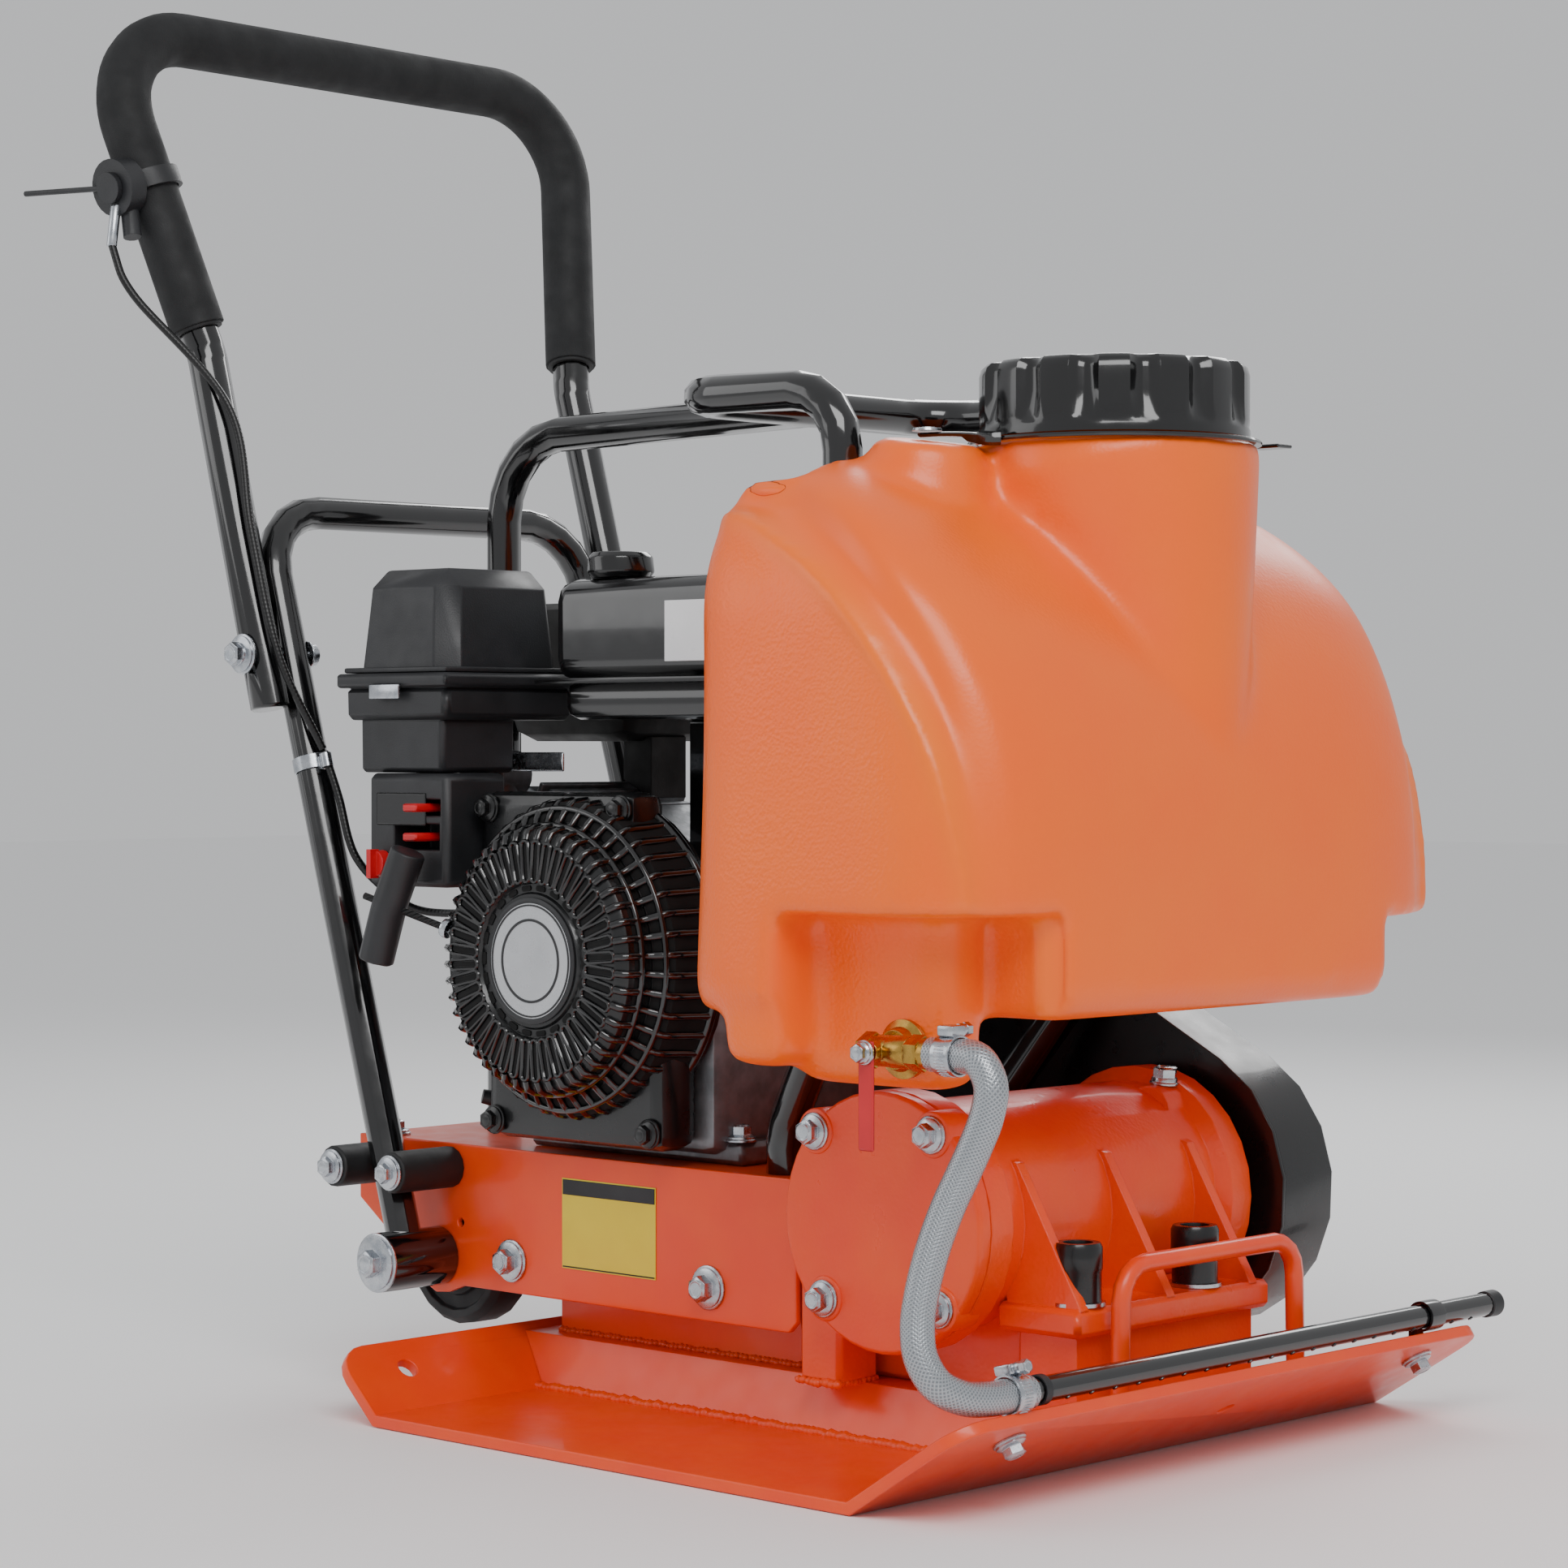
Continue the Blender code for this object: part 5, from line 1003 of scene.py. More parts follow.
    def build_strap(self) -> None:
        """Build the moulded strap from the boss to the ring under the cap."""
        bm = bmesh.new()
        low = self.neck_top - 0.0010
        turned(bm, [(self.neck_radius - 0.001, 0.0), (self.neck_radius + 0.0035, 0.0),
                    (self.neck_radius + 0.0038, 0.0012),
                    (self.neck_radius + 0.0030, 0.0024), (self.neck_radius - 0.001, 0.0024)],
               (self.neck_x, 0.0, low - 0.0012), (0, 0, 1), 72, closed=True)
        path = smooth_path([(0.101, -0.104, 0.5765), (0.112, -0.100, 0.5772), (0.124, -0.094, 0.5760),
                            (0.133, -0.086, 0.5735), (0.139, -0.080, 0.5735)], 14)
        tube(bm, path, 0.0046, 3)
        for vert in bm.verts:
            if vert.co.y < -0.078 and vert.co.x < 0.139 and vert.co.z > 0.5715:
                vert.co.z = 0.5748 + (vert.co.z - 0.5748) * 0.30
        box(bm, (self.neck_x + 0.040, 0.072, low - 0.0006), (self.neck_x + 0.062, 0.086, low + 0.0016), 0.0007, 1)
        place_piece("cap_strap", bm, CAP_PLASTIC, Body.MACHINE)
        screw = bmesh.new()
        turned(screw, [(0.0, 0.0), (0.0085, 0.0), (0.0080, 0.0016), (0.0030, 0.0022), (0.0, 0.0012)],
               (0.105, -0.103, 0.5775), (0, 0, 1), 28)
        place_piece("strap_rivet", screw, ZINC, Body.MACHINE)


@dataclass
class WaterLine:
    """The valve, the hose with its clamps, and the sprinkler pipe."""

    radius: float = 0.0095
    valve: tuple[float, float, float] = (0.1680, -0.2090, 0.2410)
    pipe: tuple[float, float] = (0.2410, 0.0655)
    pipe_ends: tuple[float, float] = (-0.1780, 0.2620)
    points: int = 18
    route: tuple[tuple[float, float, float], ...] = (
        (0.2015, -0.2090, 0.2410), (0.2180, -0.2090, 0.2410), (0.2345, -0.2100, 0.2395), (0.2430, -0.2105, 0.2275),
        (0.2415, -0.2130, 0.2090), (0.2330, -0.2190, 0.1840), (0.2260, -0.2280, 0.1590), (0.2220, -0.2370, 0.1310),
        (0.2215, -0.2430, 0.1050), (0.2260, -0.2440, 0.0860), (0.2330, -0.2370, 0.0730), (0.2390, -0.2210, 0.0665),
        (0.2410, -0.2000, 0.0655), (0.2410, -0.1783, 0.0655))

    def build(self) -> None:
        """Build the line from the valve to the pipe's end plug."""
        clamps = self.build_clamps()
        self.build_hose()
        self.build_valve()
        self.build_pipe()

    def build_clamps(self) -> bpy.types.Object:
        """Build the worm-drive clamp at each end of the hose."""
        bm = bmesh.new()
        for place, axis, lift in (((0.2150, -0.2090, 0.2410), (1, 0, 0), (0, 0, 1)),
                                  ((0.2410, -0.1900, 0.0655), (0, -1, 0), (-0.25, 0, 0.97))):
            line, up = unit(axis), unit(lift)
            across = line.cross(up)
            inner = self.radius + 0.0002
            turned(bm, [(inner, -0.0062), (inner + 0.0011, -0.0062), (inner + 0.0013, -0.0050),
                        (inner + 0.0009, 0.0), (inner + 0.0013, 0.0050), (inner + 0.0011, 0.0062), (inner, 0.0062)],
                   place, axis, 60, closed=True)
            centre = Vector(place)
            for step in range(26):
                angle = math.radians(-30 + 240 * step / 25) + math.pi / 2
                out = up * math.cos(angle) + across * math.sin(angle)
                middle = centre + out * (inner + 0.0010)
                turn = Matrix((line, out.cross(line), out)).transposed().to_4x4()
                matrix = Matrix.Translation(middle) @ turn @ Matrix.Diagonal((0.0064, 0.0006, 0.0010, 1.0))
                bmesh.ops.create_cube(bm, size=1.0, matrix=matrix)
            seat = centre + up * (inner + 0.0034)
            turn = Matrix((line, across, up)).transposed().to_4x4()
            made = bmesh.ops.create_cube(bm, size=1.0, matrix=Matrix.Translation(seat) @ turn
                                         @ Matrix.Diagonal((0.0110, 0.0115, 0.0058, 1.0)))["verts"]
            bmesh.ops.bevel(bm, geom=list({e for v in made for e in v.link_edges}), offset=0.0012, segments=2,
                            affect="EDGES", profile=0.5, material=-1)
            rod(bm, seat - across * 0.0050, seat - across * 0.0100, 0.0034, sides=20, edge=0.0005)
            hexagon(bm, seat - across * 0.0098, -across, 0.0068, 0.0042)
        return place_piece("hose_clamps", bm, ZINC, Body.MACHINE)

    def build_hose(self) -> None:
        path = smooth_path(self.route, self.points)
        fine = smooth_path(path, 120)
        bm = bmesh.new()
        tube(bm, fine, self.radius - 0.0003, 7)
        hose = place_piece("braided_water_hose", bm, BRAIDED_HOSE, Body.MACHINE, ["water_hose"], math.radians(50))
        mark_lay(hose, fine)

    def build_valve(self) -> None:
        """Dress the valve and add its nuts."""
        finish_solid("valve_body", BRASS, 0.0004)
        finish_solid("valve_lever", RED_NYLON, 0.0005)
        x, y, z = self.valve
        bm = bmesh.new()
        rod(bm, (x + 0.0200, y, z), (x + 0.0290, y, z), 0.0098, sides=6, edge=0.0006)
        rod(bm, (x - 0.0130, y, z), (x - 0.0050, y, z), 0.0098, sides=6, edge=0.0006)
        rod(bm, (x + 0.0060, y, z), (x + 0.0200, y, z), 0.0088, sides=32, edge=0.0008)
        place_piece("valve_hexes", bm, BRASS, Body.MACHINE)
        nuts = bmesh.new()
        Bolt((x, y - 0.0152, z), (0, -1, 0), 0.0088, 0.0060, 0.0040).build(nuts)
        place_piece("valve_lever_nut", nuts, ZINC, Body.WATER_VALVE)
        flange = bmesh.new()
        turned(flange, [(0.0, 0.0), (0.0160, 0.0), (0.0160, 0.0030), (0.0120, 0.0050),
                        (0.0105, 0.0100), (0.0, 0.0100)],
               (x, -0.1915, z), (0, -1, 0), 32)
        place_piece("tank_outlet_flange", flange, BRASS, Body.MACHINE)

    def build_pipe(self) -> None:
        """Dress the pipe and add its end cap and the row of spray holes' rims."""
        finish_solid("sprinkler_pipe", GLOSS_BLACK, 0.0006)
        x, z = self.pipe
        bm = bmesh.new()
        far = self.pipe_ends[1]
        turned(bm, [(0.0071, -0.0115), (0.0079, -0.0110), (0.0080, -0.0012), (0.0070, -0.0002), (0.0, 0.0)],
               (x, far - 0.0002, z), (0, 1, 0), 32)
        near = self.pipe_ends[0]
        turned(bm, [(0.0071, 0.0), (0.0082, 0.0), (0.0082, 0.0050), (0.0071, 0.0056)], (x, near + 0.0060, z),
               (0, 1, 0), 32, closed=True)
        place_piece("pipe_end_cap", bm, GREY_PLASTIC, Body.MACHINE)
        holes = bmesh.new()
        down = Vector((0.55, 0.0, -0.83)).normalized()
        for number in range(20):
            y = -0.150 + 0.020 * number
            place = Vector((x, y, z)) + down * 0.0068
            turned(holes, [(0.0008, 0.0), (0.0016, 0.0), (0.0016, 0.0006), (0.0008, 0.0006)],
                   place, down, 10, closed=True)
        place_piece("spray_hole_rims", holes, GLOSS_BLACK, Body.MACHINE)


@dataclass
class Engine:
    """The engine: block, blower, recoil starter, tanks, air cleaner, silencer and controls."""

    crank: tuple[float, float] = (-0.1480, 0.2746)
    recoil_radius: float = 0.0785
    recoil_face: float = -0.1690
    recoil_back: float = -0.1486
    slots: int = 44
    scallops: int = 22
    fan_vents: int = 48
    rib_line: tuple[tuple[float, float], ...] = ((0.0715, -0.1688), (0.0765, -0.1672), (0.0787, -0.1620),
                                                 (0.0800, -0.1530), (0.0865, -0.1480), (0.0932, -0.1410),
                                                 (0.0950, -0.1250), (0.0965, -0.1100))

    def build(self) -> None:
        """Build every part of the engine in turn."""
        self.build_block()
        self.build_recoil()
        self.build_blower()
        self.build_fuel_tank()
        self.build_air_cleaner()
        self.build_silencer()
        self.build_controls()

    def build_block(self) -> None:
        """Dress the castings and add the spark plug's boot and the oil filler's plug."""
        for node in ("crankcase", "cylinder_head"):
            finish_solid(node, ALUMINIUM, 0.0010)
        for node in ("crankshaft", "clutch_drum", "flywheel"):
            finish_solid(node, STEEL, 0.0)
        finish_solid("carburettor", ALUMINIUM, 0.0006)
        plug = bmesh.new()
        place = Vector((-0.3202, -0.0200, 0.3050))
        turned(plug, [(0.0, 0.0), (0.0090, 0.0), (0.0100, 0.004), (0.0100, 0.016), (0.0085, 0.0200), (0.0, 0.0205)],
               place, (-1, 0, 0), 28)
        place_piece("spark_plug_boot", plug, RUBBER, Body.MACHINE)
        oil = bmesh.new()
        turned(oil, [(0.0, 0.0), (0.0120, 0.0), (0.0128, 0.002), (0.0128, 0.009), (0.0110, 0.0120), (0.0050, 0.0120),
                     (0.0045, 0.0180), (0.0, 0.0180)], (-0.2560, -0.0870, 0.1790), (-0.6, -0.8, 0.2), 32)
        place_piece("oil_filler_plug", oil, GREY_PLASTIC, Body.MACHINE)

    def build_recoil(self) -> None:
        """Build the starter's pressed cover: radial vents with raised rims round a blank badge, with near-black
        painted shade in the vents and the scallops.
        """
        x, z = self.crank
        bm = bmesh.new()
        radius, face, back = self.recoil_radius, self.recoil_face, self.recoil_back
        place = (x, 0.0, z)
        profile = [(0.0, -face), (0.0395, -face), (0.0408, -face - 0.0018), (0.0455, -face - 0.0018),
                   (0.0470, -face + 0.0004), (0.0705, -face + 0.0004), (0.0722, -face - 0.0012),
                   (radius - 0.0030, -face - 0.0022), (radius - 0.0006, -face - 0.0046),
                   (radius, -face - 0.0078), (radius, -back + 0.0012), (radius + 0.0040, -back + 0.0008),
                   (radius + 0.0040, -back), (0.0, -back)]
        turned(bm, profile, place, (0, -1, 0), 176)
        place_piece("recoil_cover_pressing", bm, SATIN_BLACK, Body.MACHINE, ["recoil_cover"])
        # The rims are gloss black; each slot and scallop gets a near-black box of painted shade.
        rims, holes = bmesh.new(), bmesh.new()
        for number in range(self.slots):
            angle = math.tau * (number + 0.5) / self.slots
            out = Vector((math.cos(angle), 0.0, math.sin(angle)))
            side = Vector((-out.z, 0.0, out.x))
            turn = Matrix((out, side, Vector((0, -1, 0)))).transposed().to_4x4()
            centre = Vector((x, face - 0.0002, z)) + out * 0.0590
            self.slot_rim(rims, centre, turn, 0.0122, 0.0030, 0.0036, 0.0011)
            made = bmesh.ops.create_cube(holes, size=1.0, matrix=Matrix.Translation(centre + Vector((0, -0.0002, 0)))
                                         @ turn @ Matrix.Diagonal((0.0205, 0.0030, 0.0006, 1.0)))["verts"]
            ends = [line for vert in made for line in vert.link_edges
                    if abs((line.verts[0].co - line.verts[1].co).y) > 0.0003]
            bmesh.ops.bevel(holes, geom=list(set(ends)), offset=0.0014, segments=3, affect="EDGES",
                            profile=0.5, material=-1)
        for number in range(self.scallops):
            angle = math.tau * number / self.scallops
            out = Vector((math.cos(angle), 0.0, math.sin(angle)))
            side = Vector((-out.z, 0.0, out.x))
            turn = Matrix((side, out, Vector((0, -1, 0)))).transposed().to_4x4()
            centre = Vector((x, face + 0.0016, z)) + out * 0.0432
            made = bmesh.ops.create_cube(holes, size=1.0, matrix=Matrix.Translation(centre) @ turn
                                         @ Matrix.Diagonal((0.0075, 0.0034, 0.0009, 1.0)))["verts"]
            ends = [line for vert in made for line in vert.link_edges
                    if abs((line.verts[0].co - line.verts[1].co).y) > 0.0005]
            bmesh.ops.bevel(holes, geom=list(set(ends)), offset=0.0014, segments=3, affect="EDGES",
                            profile=0.5, material=-1)
        place_piece("recoil_slot_rims", rims, GLOSS_BLACK, Body.MACHINE)
        place_piece("recoil_slot_painted_shade", holes, PAINTED_VENT_SHADE, Body.MACHINE)
        self.build_badge()

    def slot_rim(self, bm: Shape, centre: Vector, turn: Matrix, length: float, width: float, raised: float,
                 wall: float) -> None:
        """Add a raised ring round a slot.

        Args:
            bm: the shape to add to.
            centre: the slot's centre.
            turn: its directions, along, across and outwards.
            length: half the slot's length.
            width: half its width.
            raised: the ring's height.
            wall: the ring's thickness.
        """
        out = turn.to_3x3() @ Vector((1, 0, 0))
        up = turn.to_3x3() @ Vector((0, 0, 1))
        before = set(bm.verts)
        turned(bm, [(width + wall * math.cos(step * math.tau / 6),
                     raised * 0.25 + wall * math.sin(step * math.tau / 6))
                    for step in range(6)], centre, up, 16, closed=True)
        for vert in set(bm.verts) - before:
            side = 1 if (vert.co - centre).dot(out) >= 0 else -1
            vert.co += out * side * (length - width)

    def build_badge(self) -> None:
        """Add the blank badge: a pale disc in a dark ring with a bright bead."""
        x, z = self.crank
        place = (x, 0.0, z)
        out = -self.recoil_face
        rim = bmesh.new()
        turned(rim, [(0.0, out - 0.001), (0.0375, out - 0.001), (0.0375, out + 0.0010), (0.0355, out + 0.0016),
                     (0.0345, out + 0.0010), (0.0, out + 0.0010)], place, (0, -1, 0), 96)
        place_piece("badge_holder", rim, GREY_PLASTIC, Body.MACHINE)
        plate = bmesh.new()
        turned(plate, [(0.0, out + 0.0009), (0.0342, out + 0.0009), (0.0342, out + 0.0013), (0.0, out + 0.0015)],
               place, (0, -1, 0), 96)
        place_piece("badge_blank_plate", plate, BADGE_FILM, Body.MACHINE)
        bead = bmesh.new()
        turned(bead, [(0.0235, out + 0.0013), (0.0250, out + 0.0013), (0.0250, out + 0.0017), (0.0235, out + 0.0017)],
               place, (0, -1, 0), 96, closed=True)
        turned(bead, [(0.0325, out + 0.0012), (0.0335, out + 0.0012), (0.0335, out + 0.0017), (0.0325, out + 0.0017)],
               place, (0, -1, 0), 96, closed=True)
        place_piece("badge_rings", bead, GREY_PLASTIC, Body.MACHINE)

    def build_blower(self) -> None:
        """Dress the blower housing and add its cone of raised vents, the painted shade behind them, and its bolts."""
        finish_solid("fan_housing", SATIN_BLACK, 0.0012)
        x, z = self.crank
        shade, ribs = bmesh.new(), bmesh.new()
        # A near-black turned skin behind the ribs is painted shade.
        turned(shade, [(0.0780, 0.1605), (0.0792, 0.1600), (0.0796, 0.1500), (0.0855, 0.1483), (0.0938, 0.1420),
                       (0.0942, 0.1300), (0.0975, 0.1090), (0.0940, 0.1060), (0.0780, 0.1500)],
               (x, 0.0, z), (0, -1, 0), 96, closed=True)
        place_piece("blower_cage_painted_shade", shade, PAINTED_VENT_SHADE, Body.MACHINE)
        for number in range(self.fan_vents):
            angle = math.tau * (number + 0.5) / self.fan_vents
            out = Vector((math.cos(angle), 0.0, math.sin(angle)))
            route = [Vector((x, along, z)) + out * radius for radius, along in self.rib_line]
            tube(ribs, smooth_path(route, 14), 0.0026, 1)
        rings = ((0.0800, 0.1560, 0.0022), (0.0965, 0.1110, 0.0032), (0.0900, 0.1462, 0.0020))
        for radius, along, thick in rings:
            turned(ribs, [(radius + thick * math.cos(step * math.tau / 10),
                           along + thick * math.sin(step * math.tau / 10))
                          for step in range(10)], (x, 0.0, z), (0, -1, 0), 96, closed=True)
        place_piece("blower_cage", ribs, GLOSS_BLACK, Body.MACHINE, smooth=math.radians(75))
        bolts = bmesh.new()
        for bx, by, bz in ((-0.2160, -0.1360, 0.1740), (-0.0820, -0.1360, 0.1740),
                           (-0.2260, -0.1320, 0.3640), (-0.1100, -0.1320, 0.3640)):
            Bolt((bx, by - 0.0002, bz), (0, -1, 0), 0.0100, 0.0080, 0.0055).build(bolts)
        place_piece("blower_bolts", bolts, SATIN_BLACK, Body.MACHINE)

    def build_fuel_tank(self) -> None:
        """Dress the pressed tank and its cap, and add the seam flange and the blank plate."""
        finish_solid("fuel_tank", GLOSS_BLACK, 0.0020)
        finish_solid("fuel_cap", CAP_PLASTIC, 0.0010)
        low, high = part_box("fuel_tank")
        bm = bmesh.new()
        z = 0.4420
        box(bm, (low.x - 0.0004, low.y - 0.0004, z - 0.0011),
            (high.x + 0.0002, high.y + 0.0004, z + 0.0011), 0.0008, 2)
        place_piece("fuel_tank_seam", bm, GLOSS_BLACK, Body.MACHINE)
        plate = bmesh.new()
        box(plate, (-0.0930, low.y + 0.0002 - 0.0012, 0.4520), (-0.0450, low.y + 0.0004, 0.4880), 0.0002, 1)
        place_piece("fuel_tank_blank_plate", plate, BLANK_PLATE, Body.MACHINE)

    def build_air_cleaner(self) -> None:
        """Dress the air cleaner and add its latch and the lip round the foot of its cover."""
        finish_solid("air_cleaner_cover", GREY_PLASTIC, 0.0014)
        finish_solid("air_cleaner_base", GREY_PLASTIC, 0.0010)
        latch = bmesh.new()
        box(latch, (-0.3040, -0.1622, 0.4310), (-0.2760, -0.1600, 0.4400), 0.0008, 2)
        place_piece("air_cleaner_latch", latch, ZINC, Body.MACHINE)
        lip = bmesh.new()
        low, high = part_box("air_cleaner_cover")
        box(lip, (low.x - 0.0030, low.y - 0.0030, low.z),
            (high.x + 0.0030, high.y + 0.0030, low.z + 0.0034), 0.0012, 2)
        place_piece("air_cleaner_lip", lip, GREY_PLASTIC, Body.MACHINE)

    def build_silencer(self) -> None:
        """Dress the silencer and add the louvres of its guard."""
        finish_solid("muffler", HEAT_BLACK, 0.0016)
        low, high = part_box("muffler")
        bm = bmesh.new()
        for number in range(7):
            z = 0.4180 + 0.0105 * number
            box(bm, (low.x - 0.0012, low.y + 0.012, z), (low.x + 0.0014, high.y - 0.012, z + 0.0050), 0.0010, 1)
            box(bm, (low.x + 0.016, high.y - 0.0010, z), (high.x - 0.016, high.y + 0.0014, z + 0.0050), 0.0010, 1)
        place_piece("silencer_louvres", bm, HEAT_BLACK, Body.MACHINE)

    def build_controls(self) -> None:
        """Dress the controls and add the panel's window and the governor's spring."""
        finish_solid("control_panel", GREY_PLASTIC, 0.0012)
        for node in ("choke_lever", "engine_switch", "fuel_valve_lever"):
            finish_solid(node, RED_NYLON, 0.0006)
        finish_solid("throttle_arm", ZINC, 0.0003)
        window = bmesh.new()
        low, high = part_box("control_panel")
        box(window, (low.x + 0.010, low.y - 0.0006, low.z + 0.038), (low.x + 0.056, low.y + 0.0004, low.z + 0.058),
            0.0008, 1)
        place_piece("control_panel_window", window, GLOSS_BLACK, Body.MACHINE)
        spring = bmesh.new()
        start, end = Vector((-0.2535, -0.0905, 0.3935)), Vector((-0.2900, -0.0640, 0.3900))
        line = (end - start).normalized()
        side, other = aside(line), line.cross(aside(line))
        coil = []
        for step in range(15 * 12 + 1):
            share = step / (15 * 12)
            angle = math.tau * 15 * share
            coil.append(start.lerp(end, share) + side * math.cos(angle) * 0.0024 + other * math.sin(angle) * 0.0024)
        tube(spring, coil, 0.00045, 1)
        place_piece("governor_spring", spring, ZINC, Body.MACHINE)


@dataclass
class BeltGuard:
    """The pressed belt cover, its back plate and the drive inside it."""

    def build(self) -> None:
        """Dress the cover and its back plate, and add the cover's bolts."""
        finish_solid("belt_cover", SATIN_BLACK, 0.0022)
        finish_solid("belt_guard_plate", SATIN_BLACK, 0.0006)
        bm = bmesh.new()
        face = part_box("belt_cover")[1].y
        for x, z in ((-0.1480, 0.2746), (0.0920, 0.1360)):
            Bolt((x, face + 0.0002, z), (0, 1, 0), 0.0110, 0.0090, 0.0060).build(bm)
        place_piece("belt_cover_bolts", bm, ZINC, Body.MACHINE)


@dataclass
class GuardFrame:
    """The bent tube frame round the engine, with its feet bolts."""

    def build(self) -> None:
        """Dress the frame."""
        finish_solid("guard_frame", GLOSS_BLACK, 0.0)
        bm = bmesh.new()
        for x in (-0.3480, 0.0440):
            for y in (-0.1020, 0.1020):
                if x < 0:
                    Bolt((x, y, 0.1532), (0, 0, 1), 0.0100, 0.0085, 0.0060).build(bm)
        place_piece("guard_frame_bolts", bm, ZINC, Body.MACHINE)


@dataclass
class Starter:
    """The pull grip and its rope."""

    rope_exit: tuple[float, float, float] = (-0.2290, -0.1640, 0.2910)
    direction: tuple[float, float, float] = (-0.90, -0.27, 0.30)
    rope_length: float = 0.066

    def build(self) -> None:
        """Dress the grip and build the rope into it."""
        finish_solid("starter_handle", GREY_PLASTIC, 0.0016)
        start = Vector(self.rope_exit) - unit(self.direction) * 0.004
        end = start + unit(self.direction) * self.rope_length
        path = [start.lerp(end, step / 40) for step in range(41)]
        bm = bmesh.new()
        tube(bm, path, 0.0022, 4)
        rope = mesh_object("starter_pull_rope", bm, math.radians(60))
        dress(rope, ROPE)
        mark_lay(rope, path)
        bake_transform(rope)
        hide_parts("starter_rope")
        eyelet = bmesh.new()
        turned(eyelet, [(0.0026, -0.002), (0.0058, -0.002), (0.0062, 0.0), (0.0056, 0.0022), (0.0034, 0.0030),
                        (0.0026, 0.0022)], self.rope_exit, self.direction, 32, closed=True)
        place_piece("rope_eyelet", eyelet, ZINC, Body.MACHINE)


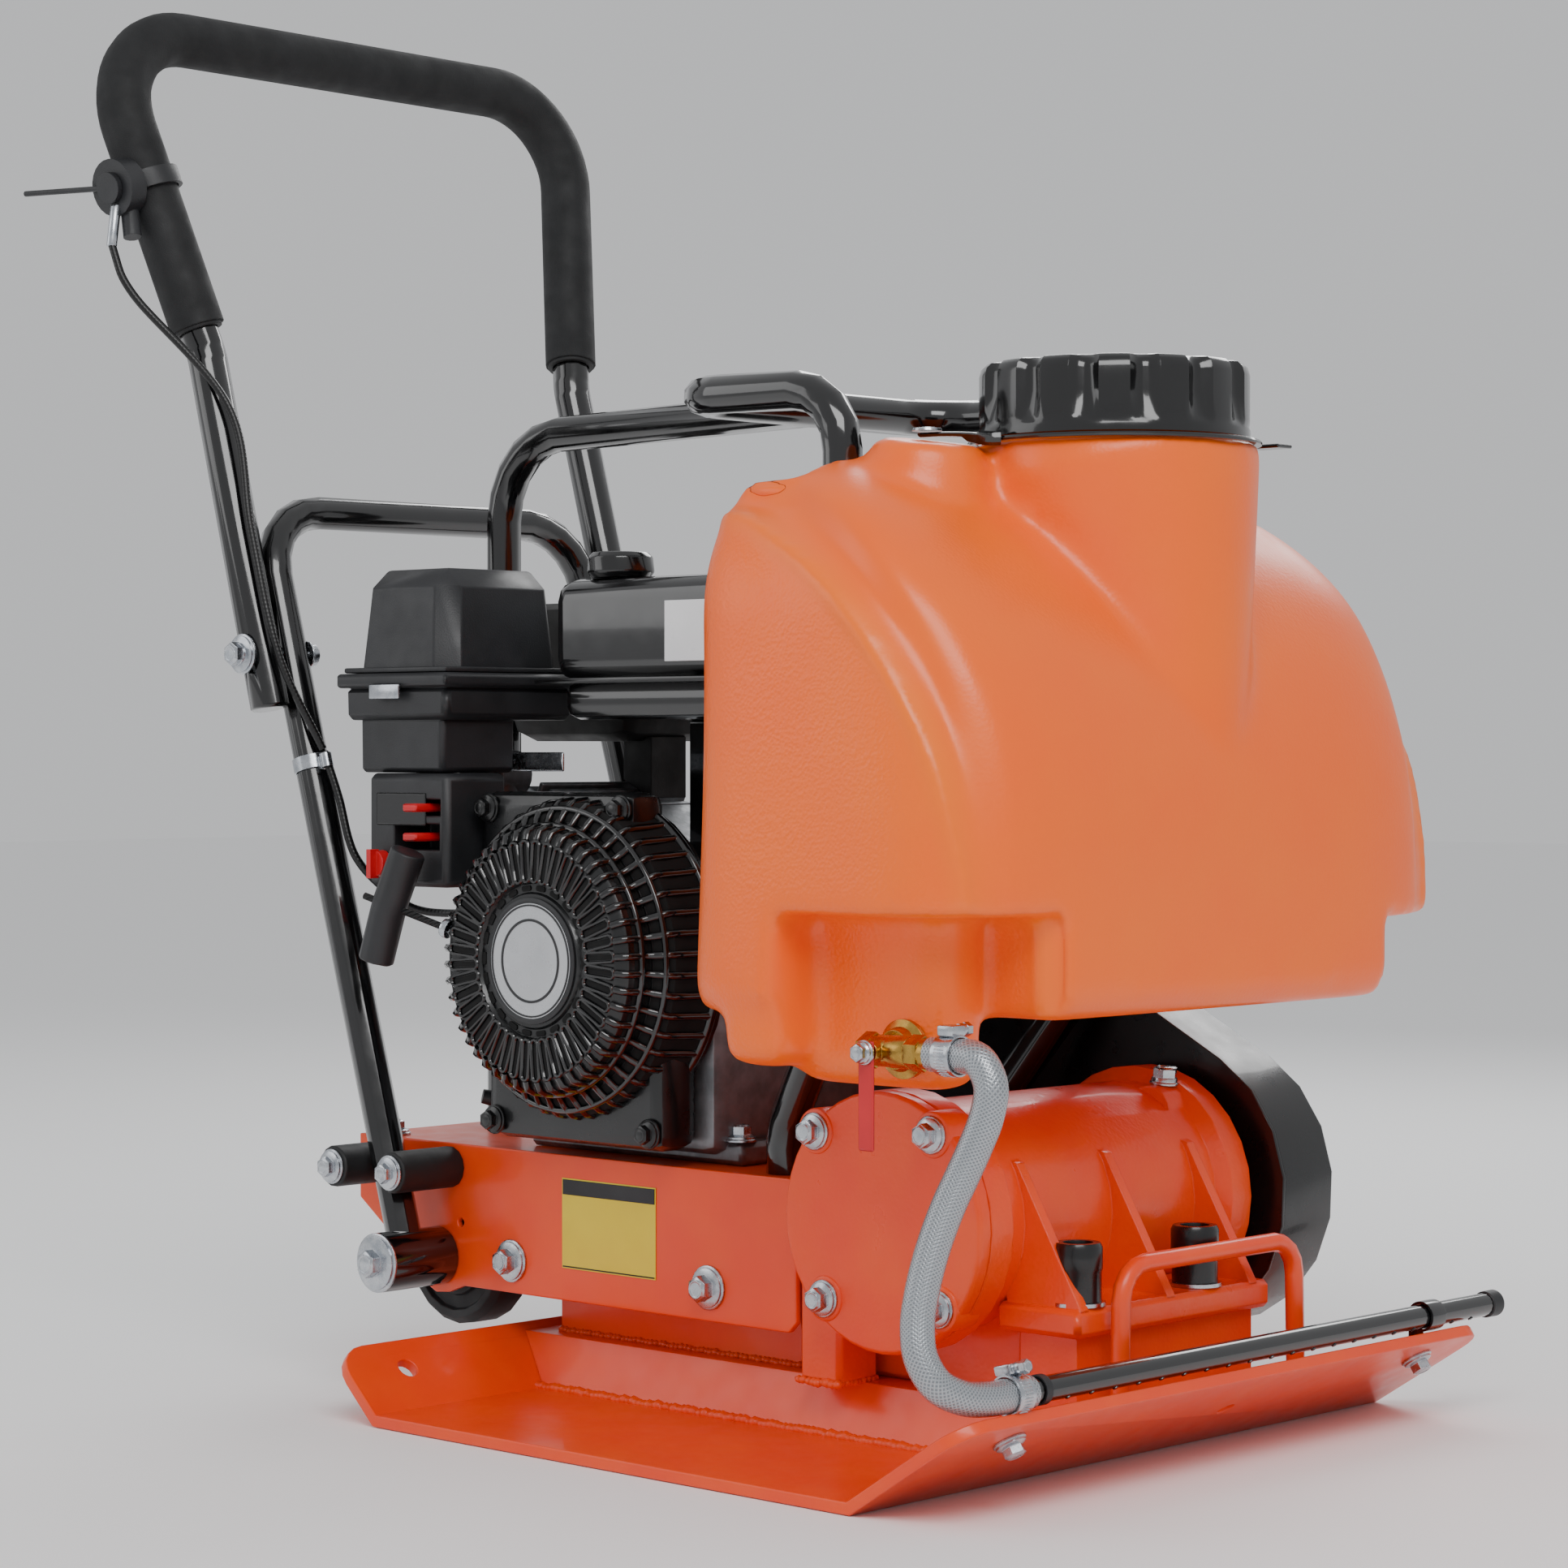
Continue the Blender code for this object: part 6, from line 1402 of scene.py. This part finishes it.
@dataclass
class Handle:
    """The two-part handle with its fold bolts, grip and throttle."""

    fold: tuple[float, float] = (-0.4090, 0.4605)
    leg_y: float = 0.1380
    lower_radius: float = 0.0111
    upper_radius: float = 0.0128
    grip_start: float = 0.6730
    grip_radius: float = 0.01785
    top: tuple[float, float, float] = (-0.5220, 0.2090, 0.8700)
    bend_z: float = 0.6550

    def build(self) -> None:
        """Dress both tubes and add the grip and the throttle."""
        finish_solid("lower_handle", GLOSS_BLACK, 0.0)
        finish_solid("upper_handle", GLOSS_BLACK, 0.0)
        finish_solid("throttle_housing", GREY_PLASTIC, 0.0012)
        finish_solid("throttle_lever", GREY_PLASTIC, 0.0010)
        for node in ("fold_bolt_left", "fold_bolt_right"):
            finish_solid(node, ZINC, 0.0006)
        self.build_fold()
        self.build_grip()
        self.build_clips()
        self.build_cables()

    def build_fold(self) -> None:
        """Add the bolt heads of the fold joint."""
        bm = bmesh.new()
        x, z = self.fold
        for side in (-1, 1):
            Bolt((x, side * 0.1768, z), (0, side, 0), 0.0130, 0.0115, 0.0080).build(bm)
        place_piece("fold_bolt_heads", bm, ZINC, Body.UPPER_HANDLE)

    def build_grip(self) -> None:
        collars = bmesh.new()
        place_y = self.leg_y + self.lower_radius + self.upper_radius + 0.0006
        slope = (-0.4690 - self.fold[0]) / (self.grip_start - self.fold[1])
        ends = []
        for side in (-1, 1):
            low = Vector((self.fold[0] + slope * (self.bend_z - self.fold[1]), side * place_y, self.bend_z))
            high = Vector((self.top[0], side * self.top[1], self.top[2]))
            at = low.lerp(high, (self.grip_start - low.z) / (high.z - low.z))
            ends.append((at, high))
            turned(collars, [(self.upper_radius + 0.0002, -0.0022), (self.upper_radius + 0.0030, -0.0022),
                             (self.upper_radius + 0.0036, 0.0), (self.upper_radius + 0.0002, 0.0004)],
                   at, high - low, 40, closed=True)
        place_piece("grip_end_collars", collars, RUBBER, Body.UPPER_HANDLE)
        foam = bmesh.new()
        (right, right_top), (left, left_top) = ends
        tube(foam, bent([right, right_top, left_top, left], 0.058, 16), self.grip_radius, 7)
        grip = place_piece("foam_grip_tube", foam, FOAM, Body.UPPER_HANDLE, ["foam_grip"], math.radians(60))

    def build_clips(self) -> None:
        """Add the band that holds the throttle cable on the right leg."""
        bm = bmesh.new()
        x, z = -0.2945 + ((-0.4090 + 0.2945) / (0.4605 - 0.0815)) * (0.3900 - 0.0815), 0.3900
        line = Vector((-0.4090 + 0.2945, 0.0, 0.4605 - 0.0815)).normalized()
        turned(bm, [(self.lower_radius + 0.0001, -0.0045), (self.lower_radius + 0.0012, -0.0045),
                    (self.lower_radius + 0.0012, 0.0045), (self.lower_radius + 0.0001, 0.0045)],
               (x, -self.leg_y, z), line, 40, closed=True)
        turned(bm, [(0.0027, -0.0045), (0.0038, -0.0045), (0.0038, 0.0045), (0.0027, 0.0045)],
               (x + 0.0190, -0.1420, z + 0.0030), line, 28, closed=True)
        box(bm, (x + 0.0105, -0.1420, z - 0.0030), (x + 0.0165, -0.1400, z + 0.0055), 0.0006, 1)
        place_piece("cable_clip", bm, ZINC, Body.LOWER_HANDLE)

    def build_cables(self) -> None:
        place_y = self.leg_y + self.lower_radius + self.upper_radius + 0.0006
        slope = (-0.4690 - self.fold[0]) / (self.grip_start - self.fold[1])
        bend = Vector((self.fold[0] + slope * (self.bend_z - self.fold[1]), -place_y, self.bend_z))
        high = Vector((self.top[0], -self.top[1], self.top[2]))
        place = bend.lerp(high, 0.52)
        lead = Vector((0.0205, -0.0065, 0.0))
        rise = (self.fold[0] + 0.2945) / (self.fold[1] - 0.0815)
        meet = Vector((-0.2945 + rise * (0.4000 - 0.0815) + 0.0185, -0.1420, 0.4000))
        upper = smooth_path([place + Vector((0.005, -0.033, -0.042)), place + Vector((0.018, -0.026, -0.075)),
                             Vector((self.fold[0] + slope * (0.620 - self.fold[1]), -0.1625, 0.620)) + lead,
                             Vector((self.fold[0] + slope * (0.540 - self.fold[1]), -0.1625, 0.540)) + lead,
                             Vector((self.fold[0], -0.1625, self.fold[1])) + lead + Vector((0, 0.004, 0)), meet], 34)
        begin = meet + (meet - upper[-2]).normalized() * 0.0020
        lower = smooth_path([begin, (-0.2945 + rise * (0.370 - 0.0815) + 0.0200, -0.138, 0.370),
                             (-0.3470, -0.1350, 0.3300), (-0.3280, -0.1120, 0.3020), (-0.3050, -0.0985, 0.2960),
                             (-0.2750, -0.0975, 0.3010), (-0.2560, -0.0960, 0.3250), (-0.2525, -0.0877, 0.3500),
                             (-0.2525, -0.0862, 0.3700)], 30)
        for name, node, points, pair in (
                ("throttle_cable_upper_run", "throttle_cable_upper", upper, (Body.UPPER_HANDLE, Body.LOWER_HANDLE)),
                ("throttle_cable_lower_run", "throttle_cable_lower", lower, (Body.MACHINE, Body.LOWER_HANDLE))):
            path = smooth_path(points, 90)
            bm = bmesh.new()
            tube(bm, path, 0.0026, 3)
            cable = mesh_object(name, bm, math.radians(60))
            dress(cable, CABLE_SKIN)
            mark_lay(cable, path)
            self.blend(cable, node, pair)
            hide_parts(node)
            log.info("%s: %d faces", name, len(cable.data.polygons))

        ferrule = bmesh.new()
        mouth = upper[0]
        rod(ferrule, mouth + Vector((0.0, 0.0, -0.0020)), mouth + Vector((-0.0014, 0.0045, 0.0250)), 0.0034, sides=20,
            edge=0.0006)
        place_piece("throttle_cable_ferrule", ferrule, ZINC, Body.UPPER_HANDLE)

    def blend(self, cable: bpy.types.Object, node: str, pair: tuple[Body, Body]) -> None:
        """Bake the run's place into its mesh; the run is attached to neither body."""
        if pair[0] is Body.UPPER_HANDLE:
            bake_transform(cable)
        else:
            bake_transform(cable)


@dataclass
class Studio:
    """The camera, the floor and the lamps."""

    eye: tuple[float, float, float] = (1.511, -1.706, 0.401)
    azimuth: float = 43.4
    pitch: float = 0.55
    lens: float = 87.58

    def build(self) -> None:
        """Add the camera, the sky, the floor and three wide lamps."""
        data = bpy.data.cameras.new("camera")
        data.lens = self.lens
        data.sensor_width = 36.0
        camera = bpy.data.objects.new("camera", data)
        camera.location = self.eye
        turn, down = math.radians(self.azimuth), math.radians(self.pitch)
        look = Vector((-math.sin(turn) * math.cos(down), math.cos(turn) * math.cos(down), -math.sin(down)))
        camera.rotation_euler = look.to_track_quat("-Z", "Y").to_euler()
        bpy.context.scene.collection.objects.link(camera)
        bpy.context.scene.camera = camera
        world = bpy.data.worlds.new("sky")
        bpy.context.scene.world = world
        world.use_nodes = True
        background = world.node_tree.nodes["Background"]
        background.inputs["Color"].default_value = linear("#F3F4F6")
        background.inputs["Strength"].default_value = 0.70
        floor = self.floor()
        lamps = [self.lamp("key", (1.4, -1.2, 1.9), (-0.1, 0.0, 0.30), (1.5, 1.0), 30.0),
                 self.lamp("fill", (-1.6, -1.7, 1.2), (-0.1, 0.0, 0.30), (1.2, 1.4), 7.0),
                 self.lamp("back", (-0.9, 1.9, 1.7), (-0.1, 0.0, 0.30), (1.6, 0.8), 20.0)]
        log.info("studio: camera, floor and %d lamps", len(lamps))

    def floor(self) -> bpy.types.Object:
        """Return the pale floor."""
        bm = bmesh.new()
        bmesh.ops.create_grid(bm, x_segments=1, y_segments=1, size=12.0, matrix=Matrix.Translation((0, 0, -0.0004)))
        floor = mesh_object("floor", bm)
        made = bpy.data.materials.new("studio_paper")
        made.use_nodes = True
        shader = made.node_tree.nodes["Principled BSDF"]
        shader.inputs["Base Color"].default_value = linear("#FAFAFA")
        shader.inputs["Roughness"].default_value = 0.85
        floor.data.materials.append(made)
        return floor

    def lamp(self, name: str, place: Point, aim: Point, size: tuple[float, float], power: float) -> bpy.types.Object:
        """Return a wide lamp that faces a point."""
        data = bpy.data.lights.new(name, "AREA")
        data.shape = "RECTANGLE"
        data.size, data.size_y = size
        data.energy = power
        lamp = bpy.data.objects.new(name, data)
        lamp.location = place
        lamp.rotation_euler = (Vector(aim) - Vector(place)).to_track_quat("-Z", "Y").to_euler()
        bpy.context.scene.collection.objects.link(lamp)
        return lamp


def main() -> None:
    """Build the machine from its sub-assemblies, then the studio round it."""
    logging.basicConfig(level=logging.INFO, format="%(name)s: %(message)s")
    for assembly in (BasePlate(), EngineDeck(), Exciter(), WaterTank(), WaterLine(), Engine(), BeltGuard(),
                     GuardFrame(), Starter(), Handle(), Studio()):
        assembly.build()
        log.info("%s done", type(assembly).__name__)
    bpy.context.view_layer.update()


if __name__ == "__main__":
    main()
